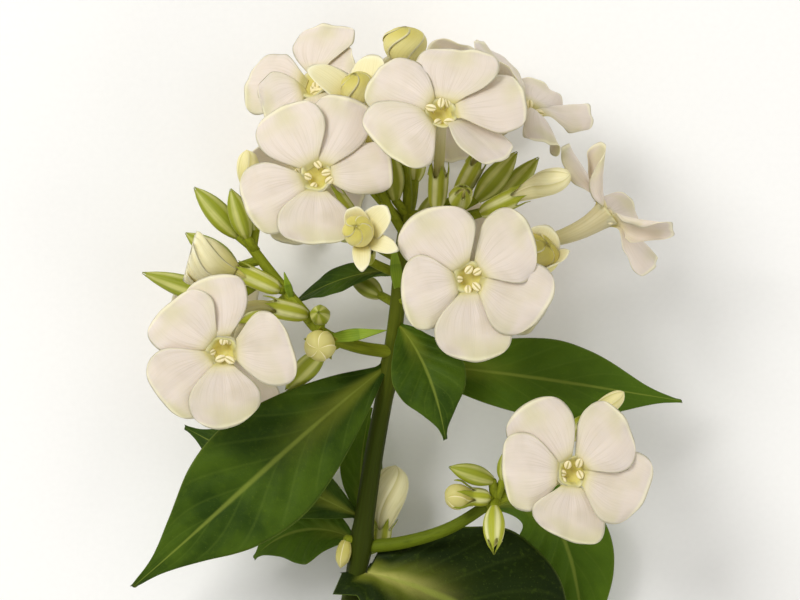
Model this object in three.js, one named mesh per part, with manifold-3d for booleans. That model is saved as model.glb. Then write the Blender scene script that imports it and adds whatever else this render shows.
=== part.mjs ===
// A cut flowering stem of garden phlox, lying on its back on a flat surface.
//
// +Y runs along the stem towards the flower head and +Z points up from the surface; lengths are in millimetres.
// Places are given in the growing frame, whose origin lies on the surface under the upper pair of leaves.
// The finished group is moved so that the part's own origin is the bottom centre of its bounding box.
//
// The stem, its flower stalks, calyces, green buds and bracts grew as one piece and are one solid. Each leaf,
// each open bloom and each pale bud is a solid of its own. A corolla stands in its calyx with a small clearance.

import * as THREE from "three";
import { mergeVertices } from "three/addons/utils/BufferGeometryUtils.js";
import Module from "manifold-3d";

const wasm = await Module();
wasm.setup();

// ---- Driving dimensions ----

const PETAL_HALF_WIDTH = 7.1;
const PETAL_THICKNESS = 0.7;
const PETAL_ROOT = 2; // how far from the throat's centre a petal begins
const PETAL_CLAW = 0.62; // the share of a petal's length up to its widest line
const CLAW_WIDTH = 0.15; // a petal's width where it begins to that at its widest line
const PETAL_CORNERS = 0.08; // how much further a petal's rounded corners reach than those of an ellipse
const ROLL_DEPTH = 0.6; // the depth of a petal's rolled edges to that of a round gutter
const THROAT_RADIUS = 2.6;
const THROAT_DEPTH = 4.5;
const TUBE_RADIUS = 1.05;
const CALYX_LENGTH = 7; // to the sinus between two teeth
const TOOTH_SHARE = 0.42; // a calyx tooth's length to that of the calyx below it
const CALYX_RADIUS = 2;
const CALYX_BORE = 1.45;
const SOCKET_FLOOR = 1.4; // above the calyx's base
const CLEARANCE = 0.3; // between a piece and what carries it
const STALK_RADIUS = 0.85;
const STEM_RADIUS = { cut: 2.4, middle: 2.1, top: 1.3 };
const LEAF_THICKNESS = 0.7;
const RIB_DEPTH = 0.8; // how far a leaf's midrib stands out below its blade

// Half widths along a blade, as pairs of (share of its length, share of its largest half width).
const LEAF_OUTLINE = [
  [0, 0.1], [0.12, 0.42], [0.3, 0.8], [0.47, 1], [0.63, 0.86], [0.78, 0.46], [0.9, 0.16], [1, 0.03],
];
const SEPAL_OUTLINE = [[0, 0.6], [0.4, 1], [1, 0.05]];

// ---- The stem's course, from its cut end to its top, and what grows from it ----

const STEM = [
  [-22, -150, 2.3], [-22, -142, 2.5], [-19.5, -115, 5.5], [-15, -86, 10], [-9.6, -60, 14.5], [-5.4, -32, 19.5],
  [-2.2, -14, 22.5], [-0.6, -2, 24.2], [0.3, 9, 25.8], [1.4, 17, 27.4],
];

// Side branches: their course, and their radius at the start and the end.
const BRANCHES = [
  {
    course: [[-1.4, -10.5, 23], [-9, -9.2, 26.5], [-15.5, -6.5, 28.5], [-20, -1.5, 28], [-25, 4.5, 27], [-30, 11, 26.5]],
    radius: [1.35, 1],
  },
  { course: [[-7, -50, 15.5], [1, -48.8, 18.5], [10, -45.8, 21.5], [19, -40, 25]], radius: [1.4, 1.1] },
];

// Open blooms: the stalk's course, whose last point is the calyx's base; the calyx's aim; the throat's centre;
// the way the bloom faces; and its petals, clockwise edge uppermost. A petal is given by the angle it points at
// round that way, its reach from the throat's centre, how far its tip stands forward of the throat, and, where
// they matter, its width, which is below 1 where its edges are rolled back; how much further its anticlockwise
// side reaches; how far its tip is drawn out; and the degrees that it is tilted about its own length. A bloom
// that the plant rests on is lowered to the surface. girth widens the tube between calyx and throat.
const BLOOMS = {
  bloom_front: {
    stalk: [[0, 1, 25], [5, 1, 25], [8.5, 1.6, 28]], aim: [0.12, 0.1, 1], throat: [13.4, 4.2, 52],
    face: [0.02, 0.03, 1],
    petals: [
      [127, 15, -0.5, 1.08, 1.3, 1.2], [38, 14.6, -1, 1.03, 2, 0.8], [-22, 15.6, -1.5, 1.08, 1.5, 0.6],
      [-86, 15.4, -1, 1.06, 0.5, 0.8], [-163, 13.3, -1, 1.02, 1.2, 0.4],
    ],
  },
  bloom_left: {
    stalk: [[-18, -4, 28.4], [-18.6, -3, 31]], aim: [-0.9, 0.2, 0.4], throat: [-34.6, -9.9, 46],
    face: [-0.08, -0.06, 1],
    petals: [
      [143, 14.2, -0.5, 1.04, 1.4], [98, 14.4, -1, 0.9, -0.6, 0.4], [3, 13.7, -1, 1.04, -2],
      [-88, 14.2, -1.5, 1, -1, 1.2], [-143, 15.8, -1.5, 1.06],
    ],
  },
  bloom_upper_left: {
    stalk: [[0.4, 9, 26], [-5, 11, 26], [-10.5, 12.5, 28.5]], aim: [-0.1, 0.3, 0.95], throat: [-16.2, 24, 47.5],
    face: [-0.12, 0.08, 1],
    petals: [
      [119, 15.5, -1, 1, 0.5, 0.2], [69, 16.8, -2, 0.88, -0.5], [10, 14.8, -0.5, 0.7], [-92, 13, -1, 1.06, 0, 0.2],
      [-157, 15.4, -1],
    ],
  },
  bloom_upper: {
    stalk: [[1, 13, 26.8], [4.5, 15, 30.5], [7.2, 18.2, 34]], aim: [0.05, 0.9, 0.42], throat: [8, 36.4, 51.5],
    face: [0.02, 0.42, 0.9],
    petals: [
      [72, 14.6, 0, 1.14, -1.5], [12, 16.6, 0, 0.95], [-42, 15.8, 0.5, 1, 0, 0, -35], [-147, 14, -0.5, 1.15, -1.6],
      [146, 15.6, -0.5, 0.94],
    ],
  },
  bloom_top_left: {
    stalk: [[1.2, 15, 27.2], [-3, 19, 26.5], [-6.5, 23, 26]], aim: [-0.35, 0.9, 0.25], throat: [-17.4, 43, 30],
    face: [-0.42, 0.45, 0.78],
    petals: [[84, 14.2, -1], [8, 9.5, 0], [-72, 15, -1], [-158, 12, -1], [168, 16, -1, 0.96]],
  },
  bloom_top_right: {
    stalk: [[1.4, 16, 27.2], [7, 18, 27.4], [11.5, 20.5, 28]], aim: [0.45, 0.85, 0.15], throat: [26, 38.6, 32],
    face: [0.6, 0.75, 0.25],
    petals: [[123, 17, 2.5], [51, 14, 3, 0.8], [6, 14, 5, 0.6], [-90, 12.4, -1.5, 0.6], [-165, 13, 5, 0.7]],
  },
  bloom_right: {
    stalk: [[0.2, 6, 25], [8, 6.5, 23], [15.5, 7, 23.5]], aim: [0.85, 0.3, 0.3], throat: [41.4, 17.6, 35],
    face: [0.78, 0.62, 0.02], girth: 1.7,
    petals: [[38, 11.4, 5, 0.8], [-37, 14.6, 1, 0.6], [-92, 13, 8, 0.42], [165, 12.4, 8, 0.5], [115, 15.8, 2.2, 0.75]],
  },
  bloom_side_shoot: {
    stalk: [[18, -41, 24.6], [23.5, -38.5, 24.5]], aim: [0.25, 0.1, 0.95], throat: [33.6, -33.7, 44],
    face: [0.02, -0.04, 1],
    petals: [
      [125, 15.7, -1, 0.95, 0.2, 0.6], [44, 14.2, -1.5, 1, 1.6, 0.6], [-17, 15, -1, 1.06, 1.2, 0.4],
      [-94, 13.2, -1.5, 1.03, 2.2, 0.2], [179, 13.6, -1, 1.1, -0.8],
    ],
  },
  bloom_back_left: {
    stalk: [[0.3, 8, 25], [-5, 11, 22.5], [-8.5, 14.5, 21]], aim: [-0.5, 0.7, -0.2], throat: [-19.2, 27, 12],
    face: [-0.55, 0.25, -0.8],
    petals: [[90, 15, -1], [18, 16, -2], [-54, 15, -1], [-126, 16, -1], [-198, 15, -2]], rests: true,
  },
  bloom_back_top: {
    stalk: [[1.2, 15, 26.4], [2.5, 20, 23.5], [3, 24, 21.5]], aim: [0.1, 0.95, -0.2], throat: [8, 41, 13],
    face: [0.1, 0.6, -0.8],
    petals: [[60, 15, -1], [-12, 15, -1], [-84, 16, -2], [-156, 15, -1], [-228, 16, -1]], rests: true,
  },
  bloom_back_right: {
    stalk: [[0, 0, 23.5], [4, 0.5, 20], [7.5, 1, 18]], aim: [0.75, 0.15, -0.35], throat: [17.4, 5, 10.5],
    face: [0.5, 0.05, -0.85],
    petals: [[75, 16, -1], [3, 15, -2], [-69, 15, -1], [-141, 16, -1], [-213, 15, -2]], rests: true,
  },
  bloom_back_shoot: {
    stalk: [[-22, 1, 27.5], [-23.5, 0, 24], [-25, -1.5, 21.5]], aim: [-0.6, -0.3, -0.6], throat: [-36, -9, 12],
    face: [-0.6, -0.3, -0.74],
    petals: [[80, 15, -1], [8, 15, -1], [-64, 16, -2], [-136, 15, -1], [-208, 16, -2]], rests: true,
  },
};

// Pale buds: the stalk, the calyx's aim and length, and the bud's tip. One that opens has some petals unfolded
// from it, each given by its angle, how far it leans out from the bud's axis in degrees, its length, and its half
// width as a share of that where it isn't the usual one. fat is the head's largest radius.
const BUDS = {
  bud_top: {
    stalk: [[1.4, 17, 27.4], [1.5, 22, 28], [1, 27, 28.5]], aim: [-0.02, 1, 0.12], sheath: 7, tip: [1, 54.2, 33],
    open: [[25, 20, 9, 0.44], [165, 20, 9, 0.44]], fat: 3.8,
  },
  bud_top_left: {
    stalk: [[1, 13, 27], [-2, 18, 30], [-4.5, 23, 32.5]], aim: [-0.15, 0.9, 0.35], sheath: 7, tip: [-9, 44.4, 42],
    open: [[66, 40, 10.5, 0.42], [190, 24, 9]],
  },
  bud_centre: {
    stalk: [[0.2, 5, 25.5], [-3.5, 6.5, 30], [-6.5, 8, 33]], aim: [-0.05, 0.25, 0.95], sheath: 7,
    tip: [-8.4, 14.4, 55.4],
    open: [[35, 60, 8, 0.32], [-27, 70, 8.6, 0.22], [-84, 64, 8.4, 0.24], [105, 40, 7]],
  },
  bud_right: {
    stalk: [[0, 0, 25], [8, -1.5, 25.5], [16, -0.5, 26.5]], aim: [0.6, 0.3, 0.75], sheath: 6, tip: [29, 10.4, 42],
    open: [[80, 26, 8.6, 0.42], [-66, 36, 9.4, 0.42]], fat: 3.2,
  },
  bud_far_right: {
    stalk: [[0.8, 11, 26.6], [8, 14.5, 31], [16, 17.2, 34]], aim: [0.9, 0.42, 0.15], sheath: 7, tip: [33.4, 24.6, 41.2],
    open: [], fat: 2.6,
  },
  bud_far_left: {
    stalk: [[-23, 2, 27.6], [-24, 2, 29]], aim: [-0.9, 0.42, 0.05], sheath: 7, tip: [-42, 8.5, 30],
    open: [[30, 32, 10, 0.4], [150, 34, 10, 0.4], [270, 33, 10, 0.4]],
  },
  bud_left_up: {
    stalk: [[-29.5, 10.4, 26.5], [-28.8, 14, 26.5]], aim: [-0.12, 0.98, 0], sheath: 6, tip: [-30.6, 30, 27], open: [], fat: 2.3,
  },
  bud_left_front: {
    stalk: [[-14.5, -7, 28.2], [-15.5, -8, 29.5]], aim: [-0.02, -0.1, 1], sheath: 3.4, tip: [-16, -9.6, 40], open: [], fat: 3.1,
  },
  bud_side_shoot_left: {
    stalk: [[18, -41, 25], [17.8, -39.6, 27]], aim: [-1, 0.12, 0.3], sheath: 3.2, tip: [9.2, -39.4, 30.5], open: [], fat: 2.6,
  },
  bud_side_shoot_right: {
    stalk: [[20.5, -39.6, 24.4], [27, -33, 25.5], [32, -28, 27.4]], aim: [0.8, 0.6, 0.3], sheath: 5, tip: [44.4, -18.2, 32.6],
    open: [], fat: 2.3,
  },
  bud_lower_right: {
    stalk: [[-7, -51, 14.8], [-4, -50.2, 11.6]], aim: [0.13, 0.98, -0.03], sheath: 3.4, tip: [-0.9, -33.6, 11.4],
    open: [], fat: 3.3,
  },
};

// Green buds, still shut in their calyces: the stalk's course and then the tip.
const GREEN_BUDS = [
  [[-30, 11, 26.5], [-32.4, 12.8, 26.5], [-41, 22.4, 27]],
  [[-29, 10, 26.6], [-30.5, 12.5, 29], [-33.6, 22, 31]],
  [[-28, 8, 26.5], [-33, 6.5, 23], [-43, 13.4, 22]],
  [[-26, 5, 26.5], [-34, -0.5, 22], [-51.6, 5.4, 22]],
  [[-16, -6, 28.4], [-15.6, -3.4, 31], [-16, -2.4, 40]],
  [[-12, -8.4, 27.5], [-15.5, -10.5, 26.5], [-22.8, -18, 26]],
  [[1.4, 17, 27.4], [7, 15.4, 29.5], [11.4, 19, 36], [12.6, 21.8, 46]],
  [[1.4, 17, 27.4], [-1, 20, 29.5], [-2.6, 31, 31]],
  [[1.4, 17, 27.4], [9, 17, 28.5], [15.2, 20, 30], [23.2, 29.4, 30]],
  [[1.4, 17, 27.4], [10, 16.4, 26.5], [18.2, 18, 26.5], [27.6, 28.4, 26.5]],
  [[19, -40, 25], [18.8, -41.2, 29], [18.6, -50, 33.5]],
  [[19, -40, 25], [18.4, -36, 28.4], [9.8, -33.2, 30]],
  [[19, -40, 25], [20.5, -36, 28], [20.4, -30.6, 29.5]],
  [[-7.6, -49, 15.8], [-10.8, -48.2, 18], [-12.2, -55, 17.6]],
  [[0.5, 10, 25], [4, 14, 20], [8, 22, 14]],
  [[-0.4, -1, 23.6], [-4, 1, 18.5], [-10, 5, 12]],
];

// Bracts: narrow green blades under the stalks, by their base, tip and half width.
const BRACTS = [
  [[-14, -7.6, 28], [-2.6, -6, 32], 1.3],
  [[-21.6, 0.4, 28.2], [-23, 5.6, 31.5], 0.8],
  [[-0.4, 2, 25], [-1.4, 12, 36], 1.2],
];

// Leaves: where the midrib starts, passes and ends, the largest half width, and the way the upper face looks. A
// leaf that clasps the stem is wide at its foot, by a share of its half width on either side, and the lobe on the
// second side reaches back.
const LEAVES = {
  leaf_upper_left: {
    midrib: [[-3.9, -14.2, 24], [-20, -26.6, 33], [-37, -43.4, 29], [-54, -58, 17]], half: 12, up: [0.1, 0.1, 1],
  },
  leaf_upper_right: {
    midrib: [[0, -12.6, 22.1], [20, -14, 27], [40, -17.6, 26], [57, -20.4, 17]], half: 8.5, up: [0.1, 0.35, 1],
  },
  leaf_front: {
    midrib: [[0.1, -5.3, 25.4], [4.8, -11, 35.5], [7.6, -19, 38], [9, -27.6, 34]], half: 7.4, up: [0.1, 0.2, 1],
  },
  leaf_back: { midrib: [[-1.1, 6, 24], [-9, 6, 19], [-16, 3, 15], [-23, -1.4, 11]], half: 4, up: [0, 0.7, 0.7] },
  leaf_middle_right: {
    midrib: [[-6, -55.2, 16.9], [6, -58, 22], [25, -63, 27.5], [38, -92, 14]], half: 20.8, up: [0, 0.68, 1],
    foot: [0.38, 0.36], lobe: 5,
  },
  leaf_side_shoot: {
    midrib: [[19.8, -41.4, 23.3], [35, -37.6, 3], [37.2, -58, 3.6], [38.4, -79, 3]], half: 9.6, up: [-0.3, 0.1, 1],
  },
  leaf_middle_left: {
    midrib: [[-9.6, -48.4, 14.7], [-17, -44.6, 12], [-25, -47, 10.5], [-30, -53, 5]], half: 7, up: [-0.1, 0.1, 1],
  },
  leaf_far_left: {
    midrib: [[-9.1, -43.3, 16.2], [-22, -37, 19], [-34, -31, 15], [-44, -26, 8]], half: 8.5, up: [-0.1, 0.1, 1],
  },
  leaf_behind: { midrib: [[-7.8, -44.6, 14.8], [-8.6, -38, 8.6], [-8, -30, 6.5], [-6, -22, 4]], half: 4.4, up: [0.2, 0, 1] },
  leaf_lower_left: {
    midrib: [[-20.8, -104, 6], [-40, -108, 16], [-64, -114, 12], [-88, -124, 0.7]], half: 14, up: [-0.1, 0.1, 1],
  },
  leaf_lower_right: {
    midrib: [[-15.1, -103.4, 6.2], [6, -110, 16], [29, -119, 12], [50, -132, 0.7]], half: 14, up: [0.1, 0.1, 1],
  },
};

const COLOURS = {
  petal: { color: 0xeae3d2, roughness: 0.55, metalness: 0 },
  bud: { color: 0xe3dc9c, roughness: 0.55, metalness: 0 },
  leaf: { color: 0x2f5420, roughness: 0.5, metalness: 0 },
  stem: { color: 0x6f8f2c, roughness: 0.5, metalness: 0 },
};

// ---- Solids ----

const vector = (xyz) => new THREE.Vector3(...xyz);
const direction = (xyz) => vector(xyz).normalize();
const course = (points) => new THREE.CatmullRomCurve3(points.map(vector), false, "centripetal");

// The same draw from -1 to 1 for the same whole number.
function draw(n) {
  const s = Math.sin(n * 12.9898 + 4.1414) * 43758.5453;
  return 2 * (s - Math.floor(s)) - 1;
}

// A value between the pairs of (place, value), on straight lines.
function along(pairs, place) {
  const next = pairs.findIndex(([p]) => p >= place);
  if (next <= 0) return pairs[0][1];
  const [[p0, v0], [p1, v1]] = [pairs[next - 1], pairs[next]];
  return v0 + ((v1 - v0) * (place - p0)) / (p1 - p0);
}

// A closed geometry as a solid with its faces pointing out.
function solid(geometry) {
  geometry.deleteAttribute("normal");
  geometry.deleteAttribute("uv");
  const merged = mergeVertices(geometry, 1e-4);
  const points = merged.attributes.position;
  const corners = merged.index.array;
  const [a, b, c] = [new THREE.Vector3(), new THREE.Vector3(), new THREE.Vector3()];
  const kept = [];
  let volume = 0;
  for (let i = 0; i < corners.length; i += 3) {
    const [p, q, r] = corners.slice(i, i + 3);
    if (p === q || q === r || r === p) continue;
    kept.push(p, q, r);
    a.fromBufferAttribute(points, p);
    b.fromBufferAttribute(points, q);
    c.fromBufferAttribute(points, r);
    volume += a.dot(b.cross(c));
  }
  if (volume < 0) kept.reverse();
  return new wasm.Manifold(
    new wasm.Mesh({ numProp: 3, vertProperties: points.array, triVerts: new Uint32Array(kept) }),
  );
}

// Solids joined into one body, without the loose scraps that a cut can leave.
function fused(solids) {
  const bodies = wasm.Manifold.union(solids).decompose();
  return wasm.Manifold.compose(bodies.filter((body) => body.volume() > 1));
}

// A solid back as a mesh of the scene.
function mesh(name, made, look) {
  const { vertProperties, triVerts } = made.getMesh();
  const geometry = new THREE.BufferGeometry()
    .setAttribute("position", new THREE.BufferAttribute(vertProperties, 3))
    .setIndex(new THREE.BufferAttribute(triVerts, 1));
  geometry.computeVertexNormals();
  const part = new THREE.Mesh(geometry, new THREE.MeshStandardMaterial(COLOURS[look]));
  part.name = name;
  return part;
}

// Turns a profile of (radius, distance from the curve's start) round a curve. The profile starts and ends on the
// axis. ribs is how much every second corner is drawn in, twist the turn over the whole length, in radians, and
// teeth says at which distance every second corner rises, and how far.
function turned(curve, profile, sides, { ribs = 0, twist = 0, turn = 0, teeth } = {}) {
  const geometry = new THREE.LatheGeometry(profile.map(([r, s]) => new THREE.Vector2(r, s)), sides);
  const places = geometry.attributes.position;
  const length = curve.getLength();
  const across = new THREE.Vector3().crossVectors(curve.getTangentAt(0), curve.getTangentAt(1));
  if (across.length() < 0.2) across.set(0, 0, 1).cross(curve.getTangentAt(0));
  if (across.length() < 0.2) across.set(1, 0, 0);
  for (let i = 0; i < places.count; i++) {
    const corner = Math.round((Math.atan2(places.getX(i), places.getZ(i)) / (2 * Math.PI)) * sides);
    const raised = teeth && corner % 2 === 0 && Math.abs(places.getY(i) - teeth.from) < 1e-6;
    const distance = places.getY(i) + (raised ? teeth.length : 0);
    const share = THREE.MathUtils.clamp(distance / length, 0, 1);
    const heading = curve.getTangentAt(share);
    const side = across.clone().addScaledVector(heading, -across.dot(heading)).normalize();
    const other = new THREE.Vector3().crossVectors(heading, side);
    const radius = Math.hypot(places.getX(i), places.getZ(i)) * (1 - (corner % 2 ? ribs : 0));
    const angle = (corner * 2 * Math.PI) / sides + twist * share + turn;
    const point = curve
      .getPointAt(share)
      .addScaledVector(heading, distance - share * length)
      .addScaledVector(side, radius * Math.cos(angle))
      .addScaledVector(other, radius * Math.sin(angle));
    places.setXYZ(i, point.x, point.y, point.z);
  }
  return solid(geometry);
}

// A round rod along a curve, tapering from one radius to the other, sunk a little into what it starts from.
function rod(curve, [start, end], sides, steps) {
  const length = curve.getLength();
  const profile = [[0, 0]];
  for (let i = 0; i <= steps; i++) profile.push([start + ((end - start) * i) / steps, (length * i) / steps]);
  return turned(curve, [...profile, [0, length]], sides);
}

// A thin closed blade on the surface point(u, v), u from -1 to 1 across it and v from 0 to 1 along it. Both
// faces are split into triangles alike. rows are the v that have points, and depth(u, v) is how far the lower
// face lies under the upper one.
function blade(point, depth, across, rows) {
  const step = 0.01;
  const lengthwise = rows.length - 1;
  const upper = [];
  const lower = [];
  for (const v of rows)
    for (let i = 0; i <= across; i++) {
      const u = (2 * i) / across - 1;
      const at = point(u, v);
      const alongU = point(u + step, v).sub(point(u - step, v));
      const [v0, v1] = [Math.max(0, v - step), Math.min(1, v + step)];
      const normal = alongU.cross(point(u, v1).sub(point(u, v0))).normalize();
      const rise = LEAF_THICKNESS / 2; // the upper face keeps its height where a rib thickens the blade
      upper.push(at.clone().addScaledVector(normal, rise));
      lower.push(at.clone().addScaledVector(normal, rise - depth(u, v)));
    }
  const row = across + 1;
  const count = upper.length;
  const corners = [];
  for (let j = 0; j < lengthwise; j++)
    for (let i = 0; i < across; i++) {
      const [p, q, r, s] = [j * row + i, j * row + i + 1, (j + 1) * row + i + 1, (j + 1) * row + i];
      const halves = i < across / 2 ? [[p, q, r], [p, r, s]] : [[p, q, s], [q, r, s]];
      for (const [a, b, c] of halves) corners.push(a, b, c, count + c, count + b, count + a);
    }
  const edge = [];
  for (let i = 0; i < across; i++) edge.push(i);
  for (let j = 0; j < lengthwise; j++) edge.push(j * row + across);
  for (let i = across; i > 0; i--) edge.push(lengthwise * row + i);
  for (let j = lengthwise; j > 0; j--) edge.push(j * row);
  edge.forEach((p, k) => {
    const q = edge[(k + 1) % edge.length];
    corners.push(p, count + p, q, q, count + p, count + q);
  });
  const geometry = new THREE.BufferGeometry().setFromPoints([...upper, ...lower]).setIndex(corners);
  return solid(geometry);
}

// ---- Blooms ----

// The frame of a bloom: its third axis is the way it faces, and an angle of 0 points along +X where that is up.
function bloomFrame(throat, face) {
  const turn = new THREE.Quaternion().setFromUnitVectors(new THREE.Vector3(0, 0, 1), direction(face));
  return new THREE.Matrix4().compose(vector(throat), turn, new THREE.Vector3(1, 1, 1));
}

// Where the place (u, v) of a blade lies on a flat petal, as shares of the petal's length and of its largest half
// width. The petal widens from its claw and ends in half an ellipse with fuller corners.
function petalPlace(u, v) {
  if (v < 0.5) {
    const widening = Math.sin(Math.PI * v) ** 1.2;
    return [PETAL_CLAW * 2 * v, u * (CLAW_WIDTH + (1 - CLAW_WIDTH) * widening)];
  }
  const a = 2 * v - 1;
  const [outwards, aside] = [a * Math.sqrt(1 - (u * u) / 2), u * Math.sqrt(1 - (a * a) / 2)];
  const corner = 1 + PETAL_CORNERS * (2 * outwards * aside) ** 2;
  return [PETAL_CLAW + (1 - PETAL_CLAW) * corner * outwards, corner * aside];
}

// The angle on either side that a petal's edges are rolled back through, where a share of its width is left.
function rollOf(share) {
  if (share < 2 / Math.PI) return 1 / share;
  return Math.sqrt(Math.max(0, 6 * (1 - share)));
}

// A petal in its bloom's frame: a wide rounded blade from the throat's rim, whose clockwise edge lies above its
// neighbour's, waved and cupped a little by draws that belong to the petal.
function petal([angle, reach, forward, width = 1, skew = 0, tip = 0, tilt = 0], seed, frame, rows) {
  const [phase, cup] = [draw(seed * 2), draw(seed * 2 + 1)];
  const length = reach - PETAL_ROOT;
  const roll = rollOf(width);
  const bank = THREE.MathUtils.degToRad(tilt);
  const [radial, sideways] = [0, 90].map((more) => {
    const a = THREE.MathUtils.degToRad(angle + more);
    return new THREE.Vector3(Math.cos(a), Math.sin(a), 0);
  });
  const point = (u, v) => {
    const [p, q] = petalPlace(u, v);
    const aside = PETAL_HALF_WIDTH * (roll ? Math.sin(roll * q) / roll : width * q);
    const rolled = roll ? (PETAL_HALF_WIDTH * (1 - Math.cos(roll * q))) / roll : 0;
    const height =
      0.8 * (1 - Math.exp(-6 * p)) + (forward - 0.8) * p ** 1.6 - 0.75 * u * Math.sin(Math.PI * p ** 0.7) +
      0.45 * Math.sin(2.6 * q + 3 * phase) * p * p - (0.4 + 0.5 * cup) * q * q * p;
    return new THREE.Vector3()
      .addScaledVector(radial, PETAL_ROOT + length * p + skew * q * p + tip * (1 - q * q) ** 2 * p ** 4)
      .addScaledVector(sideways, aside * Math.cos(bank))
      .setZ(height - ROLL_DEPTH * rolled + aside * Math.sin(bank))
      .applyMatrix4(frame);
  };
  return blade(point, () => PETAL_THICKNESS, 4, rows);
}

// The line of a corolla: straight up its calyx's bore, then curving to end at a place, facing its way.
function corollaLine(root, aim, sheath, end, facing) {
  const [base, heading] = [vector(root), direction(aim)];
  const mouth = sheath * (1 + TOOTH_SHARE);
  const outside = base.clone().addScaledVector(heading, mouth);
  const [last, face] = [vector(end), direction(facing)];
  const reach = outside.distanceTo(last) * 0.42;
  const bend = new THREE.CubicBezierCurve3(
    outside,
    outside.clone().addScaledVector(heading, reach),
    last.clone().addScaledVector(face, -reach),
    last,
  );
  const inside = [SOCKET_FLOOR + CLEARANCE, mouth * 0.4, mouth * 0.7].map((s) => base.clone().addScaledVector(heading, s));
  const squarely = last.clone().addScaledVector(face, -0.6);
  return new THREE.CatmullRomCurve3([...inside, ...bend.getPoints(4).slice(0, 4), squarely, last], false, "centripetal");
}

function limb(petals, throat, face, seed, rows) {
  const frame = bloomFrame(throat, face);
  return petals.map((shape, k) => petal(shape, seed * 5 + k, frame, rows));
}

function bloom({ stalk, aim, throat, face, petals, rests, girth = 1 }, seed) {
  const place = vector(throat);
  const rows = rests ? [0, 0.5, 1] : [0, 0.25, 0.5, 1];
  if (rests) place.z -= fused(limb(petals, throat, face, seed, rows)).boundingBox().min[2];
  const centre = place.toArray();
  const line = corollaLine(stalk.at(-1), aim, CALYX_LENGTH, centre, face);
  const length = line.getLength();
  const tube = turned(
    line,
    [
      [0, 0], [TUBE_RADIUS, 0], [TUBE_RADIUS, CALYX_LENGTH], [TUBE_RADIUS * girth, length * 0.6],
      [TUBE_RADIUS * 1.2 * girth, length - 4.5],
      [THROAT_RADIUS, length], [THROAT_RADIUS - 0.55, length], [TUBE_RADIUS, length - THROAT_DEPTH + 1],
      [0, length - THROAT_DEPTH],
    ],
    5,
  );
  return fused([tube, ...limb(petals, centre, face, seed, rows)]);
}

// ---- Buds ----

function bud({ stalk, aim, sheath, tip, open, fat = 2.9 }) {
  const outside = vector(stalk.at(-1)).addScaledVector(direction(aim), sheath * (1 + TOOTH_SHARE));
  const line = corollaLine(stalk.at(-1), aim, sheath, tip, vector(tip).sub(outside).toArray());
  const length = line.getLength();
  const head = Math.min(open.length ? 7.5 : 14, length - sheath - 0.5);
  const shaft = 1;
  const spindle = turned(
    line,
    [
      [0, 0], [shaft, 0], [shaft, sheath], [shaft, length - head], [fat * 0.72, length - head * 0.72], [fat, length - head * 0.42],
      [fat * 0.8, length - head * 0.14], [0, length],
    ],
    5, { twist: 1.5 },
  );
  const neck = line.getPointAt(1 - head / length);
  const frame = bloomFrame(neck.toArray(), line.getTangentAt(1).toArray());
  return fused([spindle, ...open.map((shape) => unfolded(shape, frame))]);
}

// A half-open petal: a rounded, cupped blade from a bud's neck, leaning out from the bud's axis.
function unfolded([angle, lean, length, share = 0.36], frame) {
  const a = THREE.MathUtils.degToRad(angle);
  const tilt = THREE.MathUtils.degToRad(lean);
  const radial = new THREE.Vector3(Math.cos(a), Math.sin(a), 0);
  const sideways = new THREE.Vector3(-Math.sin(a), Math.cos(a), 0);
  const half = length * share;
  const point = (u, v) => {
    const [p, q] = petalPlace(u, v);
    const leaning = tilt * (0.55 + 0.45 * p);
    const out = 0.6 + length * p * Math.sin(leaning) + 0.32 * length * (1 - p) * p - 0.25 * half * q * q;
    return new THREE.Vector3()
      .addScaledVector(radial, out)
      .addScaledVector(sideways, half * q)
      .setZ(length * p * Math.cos(leaning))
      .applyMatrix4(frame);
  };
  return blade(point, () => PETAL_THICKNESS, 2, [0, 0.5, 1]);
}

// ---- Green parts ----

// A calyx: a ribbed cup that rises to five pointed teeth round the bore that its corolla stands in.
function calyx(root, aim, sheath) {
  const base = vector(root);
  const axis = new THREE.LineCurve3(base, base.clone().addScaledVector(direction(aim), sheath));
  const radius = sheath < CALYX_LENGTH ? CALYX_RADIUS * 0.93 : CALYX_RADIUS;
  return turned(
    axis,
    [
      [0, -0.3], [radius * 0.92, sheath * 0.4], [radius, sheath], [CALYX_BORE, sheath], [CALYX_BORE, SOCKET_FLOOR],
      [0, SOCKET_FLOOR],
    ],
    10, { ribs: 0.05, teeth: { from: sheath, length: sheath * TOOTH_SHARE } },
  );
}

// A bud still shut in its calyx: five-sided, swelling and coming to a point.
function greenBud(points) {
  const [base, tip] = points.slice(-2);
  const axis = new THREE.LineCurve3(vector(base), vector(tip));
  const length = axis.getLength();
  const fat = Math.min(2.3, length * 0.2);
  const shut = turned(
    axis,
    [[0, -0.5], [fat, length * 0.35], [fat * 0.85, length * 0.65], [0, length]],
    5, { twist: 0.3 },
  );
  return [stalkOf(points.slice(0, -1)), shut];
}

const stalkOf = (points) => rod(course(points), [STALK_RADIUS * 1.2, STALK_RADIUS], 5, points.length - 1);

function bract([base, tip, half]) {
  const [start, end] = [vector(base), vector(tip)];
  const sideways = end.clone().sub(start).cross(new THREE.Vector3(0, 0, 1)).normalize();
  const bow = start.distanceTo(end) * 0.12;
  const point = (u, v) =>
    start
      .clone()
      .lerp(end, v)
      .addScaledVector(sideways, half * u * along(SEPAL_OUTLINE, v))
      .add(new THREE.Vector3(0, 0, bow * 4 * v * (1 - v)));
  return blade(point, () => 0.6, 2, [0, 0.4, 1]);
}

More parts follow.
